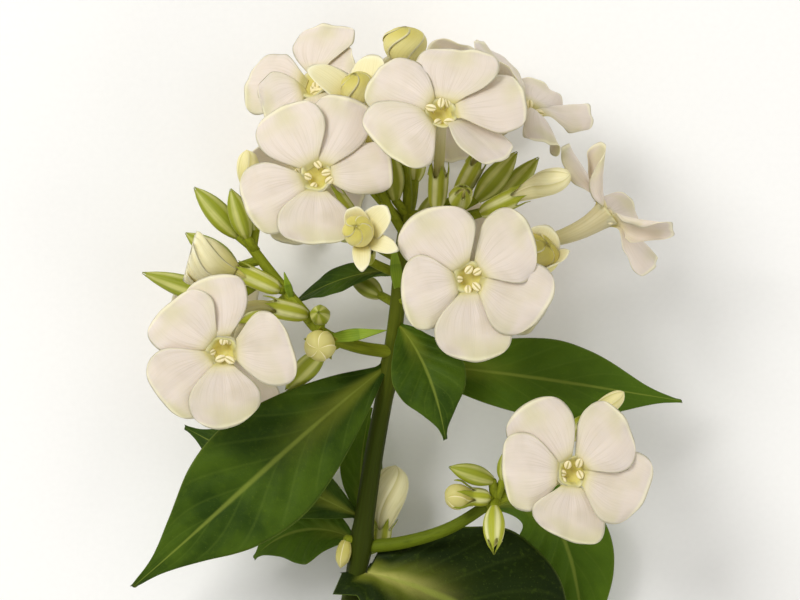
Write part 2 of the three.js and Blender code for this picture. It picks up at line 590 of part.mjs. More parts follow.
function stem() {
  const curve = course(STEM);
  const length = curve.getLength();
  const radii = [[0, STEM_RADIUS.cut], [0.55, STEM_RADIUS.middle], [1, STEM_RADIUS.top]];
  const steps = 12;
  const profile = [[0, 0]];
  for (let i = 0; i <= steps; i++) profile.push([along(radii, i / steps), (length * i) / steps]);
  const main = turned(curve, [...profile, [0, length]], 8, { turn: Math.PI / 8 });
  const carried = Object.values({ ...BLOOMS, ...BUDS });
  return fused([
    main,
    ...BRANCHES.map((b) => rod(course(b.course), b.radius, 6, b.course.length + 1)),
    ...carried.map(({ stalk }) => stalkOf(stalk)),
    ...carried.map(({ stalk, aim, sheath = CALYX_LENGTH }) => calyx(stalk.at(-1), aim, sheath)),
    ...GREEN_BUDS.flatMap(greenBud),
    ...BRACTS.map(bract),
  ]);
}

// ---- Leaves ----

// A leaf: pointed, keeled along its midrib, and waved along its edges. The midrib stands out underneath.
function leaf({ midrib, half, up, foot = [0, 0], lobe = 0 }, seed) {
  const curve = new THREE.CubicBezierCurve3(...midrib.map(vector));
  const above = direction(up);
  const point = (u, v) => {
    const heading = curve.getTangent(v);
    const sideways = heading.clone().cross(above).normalize();
    const lift = new THREE.Vector3().crossVectors(sideways, heading);
    const lobed = foot[u > 0 ? 1 : 0] * (1 - v) ** 2;
    const width = Math.max(0.45, half * Math.max(along(LEAF_OUTLINE, v), lobed));
    const wave = 0.05 * half * Math.sin(9 * v + 3 * draw(seed) + u) * Math.abs(u);
    return curve
      .getPoint(v)
      .addScaledVector(sideways, width * u)
      .addScaledVector(lift, 0.16 * width * Math.abs(u) - 0.1 * width * u * u + wave)
      .addScaledVector(heading, -lobe * Math.max(0, u) * (1 - v) ** 6);
  };
  const depth = (u, v) => LEAF_THICKNESS + (u === 0 ? RIB_DEPTH * (1 - v) : 0);
  return blade(point, depth, 4, [0, 0.12, 0.3, 0.47, 0.65, 0.85, 1]);
}

// ---- The part ----

const plant = new THREE.Group();
plant.add(mesh("stem", stem(), "stem"));
Object.entries(LEAVES).forEach(([name, made], k) => plant.add(mesh(name, leaf(made, k), "leaf")));
Object.entries(BLOOMS).forEach(([name, made], k) => plant.add(mesh(name, bloom(made, k), "petal")));
Object.entries(BUDS).forEach(([name, made]) => plant.add(mesh(name, bud(made), "bud")));

const box = new THREE.Box3().setFromObject(plant);
const middle = box.getCenter(new THREE.Vector3());
plant.position.set(-middle.x, -middle.y, -box.min.z);

export default plant;
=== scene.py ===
# %% [markdown]
# # A cut stem of garden phlox
#
# The plant lies on its back on a pale table: one upright stem with two side shoots, pairs of pointed leaves,
# and a loose head of white five-petalled flowers among buds. The imported model gives each leaf, flower and bud
# as a plain solid. Here every one of them is replaced by a fine piece that grows from the same few numbers,
# so it stands exactly where its solid stood. The first cell loads that model and keeps its parts, and each
# flower is compared with its solid where it is made.

# %% Load the imported model
import bisect
import math

import bmesh
import bpy
from mathutils import Color, Matrix, Vector
from mathutils.geometry import interpolate_bezier


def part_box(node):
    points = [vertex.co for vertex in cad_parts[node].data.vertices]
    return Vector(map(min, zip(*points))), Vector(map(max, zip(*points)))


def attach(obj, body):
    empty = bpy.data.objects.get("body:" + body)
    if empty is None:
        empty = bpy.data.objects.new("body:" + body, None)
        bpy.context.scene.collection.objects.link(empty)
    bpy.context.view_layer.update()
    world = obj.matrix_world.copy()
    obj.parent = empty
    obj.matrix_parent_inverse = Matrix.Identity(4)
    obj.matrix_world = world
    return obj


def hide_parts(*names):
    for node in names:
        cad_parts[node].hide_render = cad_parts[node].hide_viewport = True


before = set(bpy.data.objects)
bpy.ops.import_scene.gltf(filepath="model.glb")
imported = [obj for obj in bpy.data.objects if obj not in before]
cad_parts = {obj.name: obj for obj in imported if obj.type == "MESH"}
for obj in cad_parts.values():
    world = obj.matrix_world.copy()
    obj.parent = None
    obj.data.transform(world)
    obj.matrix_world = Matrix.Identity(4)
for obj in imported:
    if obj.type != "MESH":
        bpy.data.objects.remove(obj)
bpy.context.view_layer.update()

# %% [markdown]
# ## Places on the plant
#
# A plant is easier to describe in millimetres, in a frame of its own: here +Y runs along the stem and the
# origin lies under the upper pair of leaves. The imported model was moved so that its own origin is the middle
# of its foot. The cut end of the stem is a round disc whose centre is known in both, and it gives the step
# between them.

# %% From the growing frame to the model
MM = 0.001
STEM = [
    (-22, -150, 2.3), (-22, -142, 2.5), (-19.5, -115, 5.5), (-15, -86, 10), (-9.6, -60, 14.5),
    (-5.4, -32, 19.5), (-2.2, -14, 22.5), (-0.6, -2, 24.2), (0.3, 9, 25.8), (1.4, 17, 27.4),
]


def middle_of_cut_end():
    lowest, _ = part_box("stem")
    rim = [v.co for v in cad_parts["stem"].data.vertices if v.co.y < lowest.y + 0.5 * MM]
    sides = [(min(co[k] for co in rim) + max(co[k] for co in rim)) / 2 for k in range(3)]
    return Vector(sides)


SHIFT = middle_of_cut_end() - Vector(STEM[0]) * MM
print("growing frame to model, in mm:", [round(side / MM, 2) for side in SHIFT])

# %% [markdown]
# ## Camera, light and floor
#
# The plant is looked at straight down from 0.8 m with a long lens, which keeps petals near the camera from
# looking too large. A view 160 mm wide at the height of the flowers shows the head and the upper leaves. A
# wide soft lamp stands up and to the left, a weaker one fills from the right, and the sky is a dim even
# white. Light that comes from all round suits petals, because a hard lamp would burn out their faint veins.

# %% Camera
CAMERA_HEIGHT = 800  # above the growing frame's origin, in millimetres like the three below
VIEW_WIDTH = 160
VIEW_LEVEL = 25  # the height at which the view is that wide
SENSOR = 36
CLIPPING = (0.02, 20)  # the nearest and the furthest thing that is drawn, in metres


def make_camera():
    seen = bpy.data.cameras.new("camera")
    seen.sensor_width = SENSOR
    seen.lens = SENSOR * (CAMERA_HEIGHT - VIEW_LEVEL) / VIEW_WIDTH
    seen.clip_start, seen.clip_end = CLIPPING
    camera = bpy.data.objects.new("camera", seen)
    camera.location = SHIFT + Vector((0, 0, CAMERA_HEIGHT)) * MM
    bpy.context.collection.objects.link(camera)
    bpy.context.scene.camera = camera
    return camera


print("camera at", tuple(round(x, 3) for x in make_camera().location))

# %% Lamps and sky
AIM = (0, 0, 0.02)  # the middle of the plant, in metres


def lamp(name, where, size, power):
    """A round soft lamp, with its place and its size in metres and its power in watts."""
    light = bpy.data.lights.new(name, "AREA")
    light.shape, light.size, light.energy = "DISK", size, power
    made = bpy.data.objects.new(name, light)
    made.location = where
    made.rotation_euler = (Vector(AIM) - Vector(where)).to_track_quat("-Z", "Y").to_euler()
    bpy.context.collection.objects.link(made)


def even_sky(colour, strength):
    sky = bpy.data.worlds.new("even sky")
    sky.use_nodes = True
    background = sky.node_tree.nodes["Background"]
    background.inputs["Color"].default_value = colour
    background.inputs["Strength"].default_value = strength
    return sky


lamp("key lamp", (-0.55, 0.5, 0.9), size=0.55, power=7.5)
lamp("fill lamp", (0.8, -0.5, 0.7), size=0.8, power=2.4)
bpy.context.scene.world = even_sky((1, 0.99, 0.97, 1), strength=0.58)
bpy.context.scene.view_settings.view_transform = "Standard"

# %% [markdown]
# ## A way to write finishes
#
# A finish is worked out from numbers that change over a surface, such as how far along a petal a point lies.
# Wiring each sum by hand hides what it says, so a small class wraps a node's output and turns + - * ** into
# Math nodes: `1 - mask * 0.5` reads as the sum it is. Every other node is added by one method, which sets the
# node's own settings first and then the values or links of its sockets. Colours are laid over one another
# like coats of paint, and each coat says how much of it covers what is below.

# %% Sums on sockets
def srgb(code):
    """The shader's colour for a web colour such as 0xEAE3D2."""
    made = Color(((code >> 16 & 255) / 255, (code >> 8 & 255) / 255, (code & 255) / 255))
    return (*made.from_srgb_to_scene_linear(), 1)


class Socket:
    """A node's output. Arithmetic on it adds Math nodes."""

    def __init__(self, finish, end):
        self.finish, self.end = finish, end

    def sum(self, operation, *others):
        return self.finish.add("ShaderNodeMath", {"operation": operation}, dict(enumerate([self, *others])))

    def __add__(self, other):
        return self.sum("ADD", other)

    def __sub__(self, other):
        return self.sum("SUBTRACT", other)

    def __rsub__(self, other):
        return self.finish.number(other).sum("SUBTRACT", self)

    def __mul__(self, other):
        return self.sum("MULTIPLY", other)

    def __pow__(self, other):
        return self.sum("POWER", other)

    __radd__ = __add__
    __rmul__ = __mul__

    def sine(self):
        return self.sum("SINE")

    def size(self):
        return self.sum("ABSOLUTE")

    def share(self):
        return self.sum("FRACT")

    def larger(self, other):
        return self.sum("MAXIMUM", other)

    def between(self, low, high):
        """0 up to low, 1 from high on, and smooth from one to the other."""
        settings = {"interpolation_type": "SMOOTHSTEP"}
        sockets = {"Value": self, "From Min": low, "From Max": high, "To Min": 0.0, "To Max": 1.0}
        return self.finish.add("ShaderNodeMapRange", settings, sockets)

    def reaches(self, number):
        """1 from a whole number on, which tells the blades and tubes of one UV map apart."""
        return self.between(number - 0.01, number + 0.01)


# %% A finish and its nodes
class Finish:
    """A material, with one way to add nodes to it."""

    SCATTER = (1.0, 0.85, 0.6)  # how far red, green and blue light spread in flesh, as shares of a scale
    MIX_SOCKETS, MIX_RESULT = (0, 6, 7), 2  # a Mix node's share, its two colours and the colour that it gives

    def __init__(self, name, **constants):
        self.material = bpy.data.materials.new(name)
        self.material.use_nodes = True
        self.tree = self.material.node_tree
        self.shader = self.tree.nodes["Principled BSDF"]
        self.shader.inputs["Subsurface Radius"].default_value = self.SCATTER
        for socket, value in constants.items():
            self.shader.inputs[socket.replace("_", " ")].default_value = value

    def add(self, kind, settings, sockets, output=0):
        node = self.tree.nodes.new(kind)
        for name, value in settings.items():
            setattr(node, name, value)
        for name, value in sockets.items():
            self.feed(node.inputs[name], value)
        return Socket(self, node.outputs[output])

    def feed(self, socket, value):
        if isinstance(value, Socket):
            self.tree.links.new(value.end, socket)
        else:
            socket.default_value = value

    def number(self, value):
        """A plain number as a socket, for a sum that starts with one."""
        return self.add("ShaderNodeMath", {"operation": "ADD"}, {0: value, 1: 0.0})

    def mix(self, share, first, second):
        """From the first colour to the second. Either is a socket or a web colour."""
        colours = [colour if isinstance(colour, Socket) else srgb(colour) for colour in (first, second)]
        sockets = dict(zip(self.MIX_SOCKETS, (share, *colours)))
        return self.add("ShaderNodeMix", {"data_type": "RGBA"}, sockets, self.MIX_RESULT)

    def painted(self, colour, *coats):
        """A colour under coats of others, each given as the share that it covers and its colour."""
        for share, coat in coats:
            colour = self.mix(share, colour, coat)
        return colour

    def own_places(self):
        """How far across and along the piece's own blades or tubes a point lies."""
        uv = self.add("ShaderNodeTexCoord", {}, {}, output="UV")
        return [self.add("ShaderNodeSeparateXYZ", {}, {0: uv}, output=side) for side in (0, 1)]

    def place(self, x, y, z=0.0):
        return self.add("ShaderNodeCombineXYZ", {}, {0: x, 1: y, 2: z})

    def clouds(self, where, scale, detail=2.0, roughness=0.5):
        sockets = {"Vector": where, "Scale": scale, "Detail": detail, "Roughness": roughness}
        return self.add("ShaderNodeTexNoise", {}, sockets)

    def strands(self, x, y, z=0.0, detail=2.0, roughness=0.5):
        """Clouds drawn out into strands by how x and y are stretched. z sets them apart from others."""
        return self.clouds(self.place(x, y, z), 1.0, detail, roughness)

    def grain(self, scale, detail=2.0):
        """Clouds that are the same in every direction, in Object coordinates, which are metres."""
        return self.clouds(self.add("ShaderNodeTexCoord", {}, {}, output="Object"), scale, detail)

    def wear(self, colour, height=None, depth=0.2, roughness=None):
        """Joins a colour, a height that is depth millimetres deep and a roughness to the shader."""
        self.feed(self.shader.inputs["Base Color"], colour)
        if roughness is not None:
            self.feed(self.shader.inputs["Roughness"], roughness)
        if height is not None:
            sockets = {"Height": height, "Distance": depth * MM, "Strength": 1.0}
            self.feed(self.shader.inputs["Normal"], self.add("ShaderNodeBump", {}, sockets))
        return self.material


print("made the two classes for finishes")

# %% The floor
FLOOR_HALF = 2.5  # metres


def make_floor():
    bm = bmesh.new()
    bmesh.ops.create_grid(bm, x_segments=2, y_segments=2, size=FLOOR_HALF)
    mesh = bpy.data.meshes.new("floor")
    bm.to_mesh(mesh)
    bm.free()
    floor = bpy.data.objects.new("floor", mesh)
    bpy.context.collection.objects.link(floor)
    paper = Finish("pale paper", Roughness=0.85)
    mesh.materials.append(paper.wear(paper.mix(paper.grain(900.0), 0xFBFAF7, 0xF7F6F3)))
    return floor


print("floor:", make_floor().dimensions[:2])

# %% [markdown]
# ## The finish of a petal
#
# A phlox petal is warm white and a little translucent. Fine veins fan out along it, the rim is a thin pale
# yellow line where the light shines through, the tip of some petals is flushed with greenish yellow, and the
# claw turns yellow olive towards the throat. Each petal has its own share of the piece's UV map: across it
# the map runs from one whole number to the next, and along it from 0 at the throat to 1 at the tip. So
# streaks of noise that are long in that second direction become veins, and the distance to the map's border
# is the rim.

# %% Petal
THROAT_EDGE = 0.13  # where along a petal's map its claw turns from olive to white
THIN_SKIN = dict(Roughness=0.5, Subsurface_Scale=0.001, Specular_IOR_Level=0.3)  # of petals and buds alike


def petal_finish():
    petal = Finish("petal", Subsurface_Weight=0.2, Sheen_Weight=0.06, **THIN_SKIN)
    across, along = petal.own_places()
    edge = (across.share() * 2 - 1).size().larger(along)
    fine = petal.strands(across * 75, along * 1.3, roughness=0.6)  # the veins
    bands = petal.strands(across * 14, along * 0.9, 4.0)
    shade = petal.strands(across * 1.7, along * 2.1, 2.0)
    flush = petal.strands(across * 1.3, along * 1.5, 9.0, detail=1.0)
    throat = (along + fine * 0.06).between(THROAT_EDGE, THROAT_EDGE + 0.07)
    colour = petal.painted(
        petal.mix(shade.between(0.45, 0.75), 0xE3D5C7, 0xD6C9B5),
        (bands.between(0.4, 0.75) * 0.1, 0xC6B8A0),
        (fine.between(0.46, 0.66) * (0.5 - along.between(0.15, 0.7) * 0.38), 0xC0B298),  # faint at the tip
        (flush.between(0.4, 0.64) * edge.between(0.3, 0.95) * along * 0.8, 0xCCC694),
        (edge.between(0.92, 0.985) * 0.75, 0xF8EFC6),
        ((1 - along.between(THROAT_EDGE, THROAT_EDGE + 0.22)) * 0.6, 0xD8CE98),
        ((1 - throat) * 0.8, 0xD2C87C),
    )
    return petal.wear(colour, fine + bands * 0.5, 0.05, 0.46 + fine * 0.16)


PETAL = petal_finish()
print("finish:", PETAL.name)

# %% [markdown]
# ## Throat, tube and anthers
#
# The five petals join in a slender tube that widens at its mouth into a funnel. Outside, the tube is pale
# with long faint lines; inside, the funnel is yellow olive, and deeper down it is painted darker, as shade.
# Both are one turned surface whose UV map runs along its profile, so a few thresholds on that number colour
# them. Anthers are matt cream yellow, rough with pollen, and a greener groove runs along each side.

# %% Tube and anthers
TUBE_ROWS = (18, 6, 8)  # rings of the tube's profile up its side, out to its rim, and down inside
RIM = (sum(TUBE_ROWS[:2]) - 1) / (sum(TUBE_ROWS) - 1)  # how far along that profile the rim lies


def tube_finish():
    tube = Finish("corolla tube", Roughness=0.5, Subsurface_Weight=0.4, Subsurface_Scale=0.002)
    across, along = tube.own_places()
    lines = tube.strands(across * 30, along * 2)
    outside = tube.mix(along.between(0.2, 0.55), 0xA9A25C, 0xCDC298)
    # the funnel inside: its yellow olive, painted darker deeper down as shade
    inside = tube.mix(along.between(RIM, RIM + 0.1), 0xDED49A, 0xDCD07C)
    colour = tube.painted(
        outside,
        (lines.between(0.4, 0.75) * 0.35, 0x9C9058),
        (along.between(RIM - 0.03, RIM), tube.mix(along.between(RIM + 0.1, 1.0), inside, 0xD2C666)),
    )
    return tube.wear(colour, lines, 0.06)


def anther_finish():
    anther = Finish("anther", Roughness=0.75, Subsurface_Weight=0.15, Subsurface_Scale=0.0008)
    across, _ = anther.own_places()
    groove = 1 - ((across * 2).share() - 0.5).size().between(0.05, 0.2)
    grains = anther.grain(6500.0)
    colour = anther.mix(grains.between(0.35, 0.7), 0xF6E4A8, 0xFFF6D4)
    return anther.wear(anther.mix(groove * 0.8, colour, 0xA89A44), grains, 0.12)


TUBE = tube_finish()
ANTHER = anther_finish()
print("finishes:", TUBE.name, ANTHER.name)

# %% [markdown]
# ## Buds
#
# A bud that shows colour is pale greenish yellow, and the edges of its folded petals wind round it as paler
# lines, painted as highlights. Deep in each fold, under the edge that lies over it, a stronger and darker
# yellow green is painted as shade. The five folds share the UV map, so the place within a fold is the fraction
# of five times the place round the bud. In a bud that opens each petal is a blade of its own, yellow where it
# is still wound and pale where it has come loose, and the edges of its blades are painted paler as
# highlights. A few shut buds are greener than the others, and two are painted paler, as light. All that goes
# by whole numbers in the UV map, which a blade or a bud is given when it is made.

# %% Pale buds and young petals
GREENER, PAINTED_LIGHT_BUD = 1, 2  # the numbers of shut buds that are greener, and of those painted paler as light; the others have 0
WOUND = 5  # the number of the first petal that is still wound; petals that have come loose have 0 to 4


def bud_finish():
    bud = Finish("pale bud", Subsurface_Weight=0.25, **THIN_SKIN)
    across, along = bud.own_places()
    fold = (across * 5).share()
    streaks = bud.strands(across * 40, along * 3)
    # painted light: two buds are painted paler, as if more light fell on them
    painted_light = across.reaches(PAINTED_LIGHT_BUD)
    colour = bud.painted(
        bud.mix(along.between(0.3, 0.95), 0xDACF78, 0xEAE0A6),
        ((across.reaches(GREENER) - painted_light) * 0.6, 0xB4AC4C),
        (painted_light * 0.8, 0xF6EEC0),
        (streaks.between(0.4, 0.75) * 0.3, 0xCCC266),
        # painted shade deep in each fold, under the edge over it, and a painted highlight along that edge
        ((1 - fold.between(0.0, 0.35)) * 0.4, 0xB8AC48),
        (fold.between(0.86, 0.96) * 0.6, 0xF6EDC4),
    )
    return bud.wear(colour, streaks, 0.05)


def young_petal_finish():
    young = Finish("young petal", Subsurface_Weight=0.25, **THIN_SKIN)
    across, along = young.own_places()
    wound = across.reaches(WOUND)
    edge = (across.share() * 2 - 1).size().larger(along * (1 - wound))
    streaks = young.strands(across * 30, along * 1.2)
    colour = young.painted(
        young.mix(along.between(0.1, 0.7), 0xD6CA78, 0xF0E6B8),
        (wound, young.mix(along.between(0.55, 1.0), 0xE0D48A, 0xCDBE54)),
        (streaks.between(0.4, 0.7) * 0.25, 0xCBBF74),
        # painted highlight: the edges of the blades are painted pale
        (edge.between(0.84, 0.97) * 0.75, 0xF8F0C8),
    )
    return young.wear(colour, streaks, 0.05)


BUD = bud_finish()
YOUNG_PETAL = young_petal_finish()
print("finishes:", BUD.name, YOUNG_PETAL.name)

# %% [markdown]
# ## Leaves
#
# The upper face of a leaf is deep green with a satin gloss, a paler midrib that is widest at its foot, where
# a lighter yellow green is painted as the highlight of the gloss, and side veins that run out and then
# forward. The under face is paler and matt, and its veins stand out. The veins are drawn by the same sum that
# shapes their grooves in the mesh: a saw of the place along the leaf, held back towards the edge so that each
# vein points forward. One leaf is painted nearly black green, as shade, and has a yellow foot, and a few that
# lie in shadow are painted fresher and lighter than the rest, as light.

# %% Leaf faces
SIDE_VEINS = 7.5  # side veins on each side of the midrib
VEIN_SWEEP = 0.3  # how far along the leaf a side vein runs before it reaches the edge
VEIN_BEND = 0.8  # 1 makes the side veins straight; below it they bend forward
SHADED_LEAF, LIT_LEAF = 1, 2  # the numbers in the UV map of the leaf painted darker as shade and of those painted lighter as light; the others have 0


def leaf_finish(name, flesh, foot_highlight_colour, vein_colour, rib_colour, vein_share, roughness):
    leaf = Finish(name, Subsurface_Weight=0.05, Subsurface_Scale=0.0008, Specular_IOR_Level=0.1)
    across, along = leaf.own_places()
    aside = (across.share() * 2 - 1).size()
    saw = ((along - aside ** VEIN_BEND * VEIN_SWEEP) * SIDE_VEINS).share()
    vein = (1 - ((saw * 2 - 1).size() - 1).size().between(0.0, 0.2)) * (1 - aside.between(0.75, 1.0))
    foot = (1 - along.between(0.0, 0.5)) * (1 - aside.between(0.1, 0.55))
    blotches, net, specks = leaf.grain(110.0, 3.0), leaf.grain(750.0, 3.0), leaf.grain(2600.0)
    # painted shade and light: one leaf is painted darker, and leaves that lie in shadow lighter
    young = across.reaches(LIT_LEAF)
    shaded_leaf = across.reaches(SHADED_LEAF) - young
    colour = leaf.painted(
        leaf.mix(blotches.between(0.3, 0.7), *flesh),
        (shaded_leaf * 0.85, 0x0F1A02),
        (young * 0.4, 0x60801A),
        # painted highlight: the satin gloss near the foot, painted as a lighter yellow green
        (foot * 0.65, foot_highlight_colour),
        (foot * shaded_leaf * (1 - aside.between(0.02, 0.25)) * 0.7, 0xC4BE6A),
        (vein * (1 - shaded_leaf * 0.6) * vein_share, vein_colour),
        (net.between(0.55, 0.75) * 0.18, 0x566C18),
        (specks.between(0.64, 0.74) * 0.15, 0x788838),
        ((1 - aside.between(0.012, 0.07)) * 0.5, rib_colour),
        (aside.between(0.965, 0.995) * 0.5, 0x748C34),
    )
    return leaf.wear(colour, net * 0.7 + specks * 0.3, 0.16, roughness + net * 0.2)


LEAF_TOP = leaf_finish(
    "leaf upper face", flesh=(0x283E06, 0x42590E), foot_highlight_colour=0x8C9430, vein_colour=0x6F8430,
    rib_colour=0x8E9A3E, vein_share=0.12, roughness=0.5,
)
LEAF_UNDER = leaf_finish(
    "leaf under face", flesh=(0x4C6426, 0x667E34), foot_highlight_colour=0x93A84E, vein_colour=0x9DAE64,
    rib_colour=0xACB466, vein_share=0.4, roughness=0.6,
)
print("finishes:", LEAF_TOP.name, LEAF_UNDER.name)

# %% [markdown]
# ## Green stems, calyces and shut buds
#
# The old stem is dark olive, and that dark is carried on up to just below the head as painted shade, where
# the stem turns fresher. Its shoots and stalks are a bright olive, with fine lengthwise lines on all of them.
# A calyx is five green ribs joined by thin pale skin, and each rib runs on into a pointed tooth with a darker
# tip. A bud that is still shut shows the same ribs, closer in colour. In both the ribs repeat five times round
# the UV map.

# %% Green finishes
SHOOTS, LOWER_SHOOT, STALKS = 1, 2, 3  # their numbers in the UV map, where the main stem has 0
TEETH_START, TEETH_TOP = 0.31, 0.52  # where along a calyx's profile its teeth begin, and where their tips are


def stem_finish():
    stem = Finish("green stem", Subsurface_Weight=0.08, Subsurface_Scale=0.0008, Specular_IOR_Level=0.1)
    across, along = stem.own_places()
    around = (across * 2 * math.pi).sine() * 9
    lines = stem.clouds(stem.place(around, along * 5, (across * 4).sine()), 2.0, 3.0)
    # the old stem's own dark olive, carried up to just below the head as painted shade
    dark_olive_and_painted_shade = 1 - along.between(0.7, 0.86) * 0.3 - along.between(0.92, 1.0) * 0.5
    colour = stem.painted(
        stem.mix(stem.grain(90.0).between(0.3, 0.7), 0x7E861A, 0x96A028),
        ((across.reaches(LOWER_SHOOT) - across.reaches(STALKS)) * 0.8, 0x56660E),
        ((1 - across.reaches(SHOOTS)) * dark_olive_and_painted_shade, 0x313A02),
        (lines.between(0.4, 0.7) * 0.4, 0x3A4A06),
    )
    return stem.wear(colour, lines, 0.09, 0.5 + lines * 0.15)


def ribbed_finish(name, rib_colour, skin_colour, tip_colour):
    ribbed = Finish(
        name, Roughness=0.5, Subsurface_Weight=0.12, Subsurface_Scale=0.0008, Specular_IOR_Level=0.25,
    )
    across, along = ribbed.own_places()
    aside = 1 - ((across * 5).share() * 2 - 1).size()  # 0 on a rib and 1 half way to the next
    streaks = ribbed.strands(across * 24, along * 3)
    teeth = along.between(TEETH_START, TEETH_TOP) * (1 - along.between(TEETH_TOP, TEETH_TOP + 0.02))
    colour = ribbed.painted(
        ribbed.mix(aside.between(0.3, 0.85), rib_colour, skin_colour),
        (ribbed.grain(260.0).between(0.35, 0.7) * 0.35, rib_colour),
        (streaks.between(0.45, 0.7) * 0.25, tip_colour),
        (teeth * 0.6, tip_colour),
    )
    return ribbed.wear(colour, streaks, 0.08)


STEM_GREEN = stem_finish()
CALYX = ribbed_finish("calyx", 0xAEB234, 0xE6E4A4, 0x728210)
SHUT_BUD = ribbed_finish("shut bud", 0x929A26, 0xC6C674, 0x566610)
BRACT = ribbed_finish("bract", 0x86A024, 0x94AA30, 0x6A8618)
print("finishes:", STEM_GREEN.name, CALYX.name, SHUT_BUD.name, BRACT.name)

# %% The stem's cut face
def cut_finish():
    cut = Finish("cut face", Roughness=0.6)
    _, along = cut.own_places()
    pores = cut.grain(5200.0)
    colour = cut.painted(
        cut.mix(along.between(0.0, 0.8), 0xE3E6C4, 0xC3D08C),
        (along.between(0.78, 0.92), 0x7E9A3C),
        (pores.between(0.55, 0.7) * 0.35, 0x9EAE68),
    )
    return cut.wear(colour, pores, 0.15)


CUT = cut_finish()
print("finish:", CUT.name)

# %% [markdown]
# ## Making thin blades
#
# Petals, leaves and bracts are thin blades. Each starts as one flat grid, whose points are moved to where a
# formula puts them. The grid is then copied, the two copies are pushed apart along the surface's normals, and
# their borders, where the thickness runs out, are welded. So a blade is closed, has a real thickness and a
# sharp edge. A Solidify modifier would do as much with an even thickness, but it could not thin the edge or
# swell the midrib of a leaf.

# %% A blade
WELD = 1e-4  # mm, closer than any two points that are meant to be apart
BORDER = 0.999  # from here on a point across or along a blade counts as lying on its border


def mapped_grid(bm, across, along, number, look):
    """A flat grid of a size of 1. Its UV map runs on from a whole number across it and from 0 along it."""
    uv = bm.loops.layers.uv.verify()
    corners = bmesh.ops.create_grid(bm, x_segments=across, y_segments=along, size=0.5)["verts"]
    faces = list({face for corner in corners for face in corner.link_faces})
    for face in faces:
        face.material_index = look
        face.smooth = True
        for loop in face.loops:
            loop[uv].uv = (loop.vert.co.x + 0.5 + number, loop.vert.co.y + 0.5)
    return corners, faces


def blade(bm, point, thickness, across, along, number=0, looks=(0, 0)):
    """Makes a grid of point(u, v) as thick as thickness(u, v) says, above and below it, with u from -1 to 1
    across it and v from 0 to 1 along it."""
    corners, faces = mapped_grid(bm, across, along, number, looks[0])
    places = [(2 * corner.co.x, corner.co.y + 0.5) for corner in corners]
    for corner, (u, v) in zip(corners, places):
        corner.co = point(u, v)
    for item in (*faces, *corners):
        item.normal_update()
    edges = list({edge for face in faces for edge in face.edges})
    copied = bmesh.ops.duplicate(bm, geom=corners + edges + faces)
    lower_faces = [item for item in copied["geom"] if isinstance(item, bmesh.types.BMFace)]
    for corner, (u, v) in zip(corners, places):
        above, below = thickness(u, v)
        copied["vert_map"][corner].co -= corner.normal * below
        corner.co += corner.normal * above
    for face in lower_faces:
        face.material_index = looks[1]
    bmesh.ops.reverse_faces(bm, faces=lower_faces)
    border = [c for c, (u, v) in zip(corners, places) if max(abs(u), abs(2 * v - 1)) > BORDER]
    bmesh.ops.remove_doubles(bm, verts=border + [copied["vert_map"][c] for c in border], dist=WELD)


print("a blade of 24 x 24 faces has", 2 * 24 * 24, "faces once it is closed")

# %% [markdown]
# ## Lines and turned pieces
#
# Stems, tubes, calyces and buds are round pieces along a line. A line is a smooth curve through a few points,
# walked by its length, that carries a side direction with it which never spins. A turned piece is one grid
# rolled round that line: its columns go round, its rows follow a profile of radius and distance, and the seam
# and the poles are welded. Skin modifiers or curves with a bevel could make plain rods, but not ribs, teeth
# and folds.

# %% A line
def eased(start, end, entry, leaving, t):
    """Where t, from 0 to 1, lies on a smooth path between two places, with the slopes at both ends."""
    return (
        start * (2 * t**3 - 3 * t**2 + 1) + end * (3 * t**2 - 2 * t**3)
        + entry * (t**3 - 2 * t**2 + t) + leaving * (t**3 - t**2)
    )


class Line:
    """A smooth curve through points, walked by the distance from its start."""

    STEPS = 10  # short straight steps from one point to the next
    UPRIGHT = 0.8  # a line that starts steeper than this takes its first side from X instead of Z

    def __init__(self, points):
        knots = [Vector(p) for p in points]
        knots = [2 * knots[0] - knots[1], *knots, 2 * knots[-1] - knots[-2]]
        self.places = [p for four in zip(knots, knots[1:], knots[2:], knots[3:]) for p in self.stretch(*four)]
        self.places.append(knots[-2])
        self.reached = [0.0]
        for start, end in zip(self.places, self.places[1:]):
            self.reached.append(self.reached[-1] + (end - start).length)
        self.length = self.reached[-1]
        self.headings = self.smooth_headings()
        self.sides = self.carried_sides()

    def stretch(self, before, start, end, after):
        gaps = [max((q - p).length ** 0.5, 1e-3) for p, q in ((before, start), (start, end), (end, after))]
        entry = (start - before) / gaps[0] - (end - before) / (gaps[0] + gaps[1]) + (end - start) / gaps[1]
        leaving = (end - start) / gaps[1] - (after - start) / (gaps[1] + gaps[2]) + (after - end) / gaps[2]
        for step in range(self.STEPS):
            yield eased(start, end, entry * gaps[1], leaving * gaps[1], step / self.STEPS)

    def smooth_headings(self):
        last = len(self.places) - 1
        pairs = [(max(k - 1, 0), min(k + 1, last)) for k in range(last + 1)]
        return [(self.places[b] - self.places[a]).normalized() for a, b in pairs]

    def carried_sides(self):
        first = self.headings[0]
        away = (0, 0, 1) if abs(first.z) < self.UPRIGHT else (1, 0, 0)
        side = first.cross(Vector(away)).normalized()
        sides = []
        for heading in self.headings:
            side = (side - heading * side.dot(heading)).normalized()
            sides.append(side)
        return sides

    def at(self, distance):
        """The place, heading and side at a distance, which may lie past either end."""
        inside = min(max(distance, 0.0), self.length)
        k = min(max(bisect.bisect_right(self.reached, inside) - 1, 0), len(self.places) - 2)
        share = (inside - self.reached[k]) / max(self.reached[k + 1] - self.reached[k], 1e-6)
        heading = self.headings[k].lerp(self.headings[k + 1], share).normalized()
        place = self.places[k].lerp(self.places[k + 1], share) + heading * (distance - inside)
        return place, heading, self.sides[k].lerp(self.sides[k + 1], share)


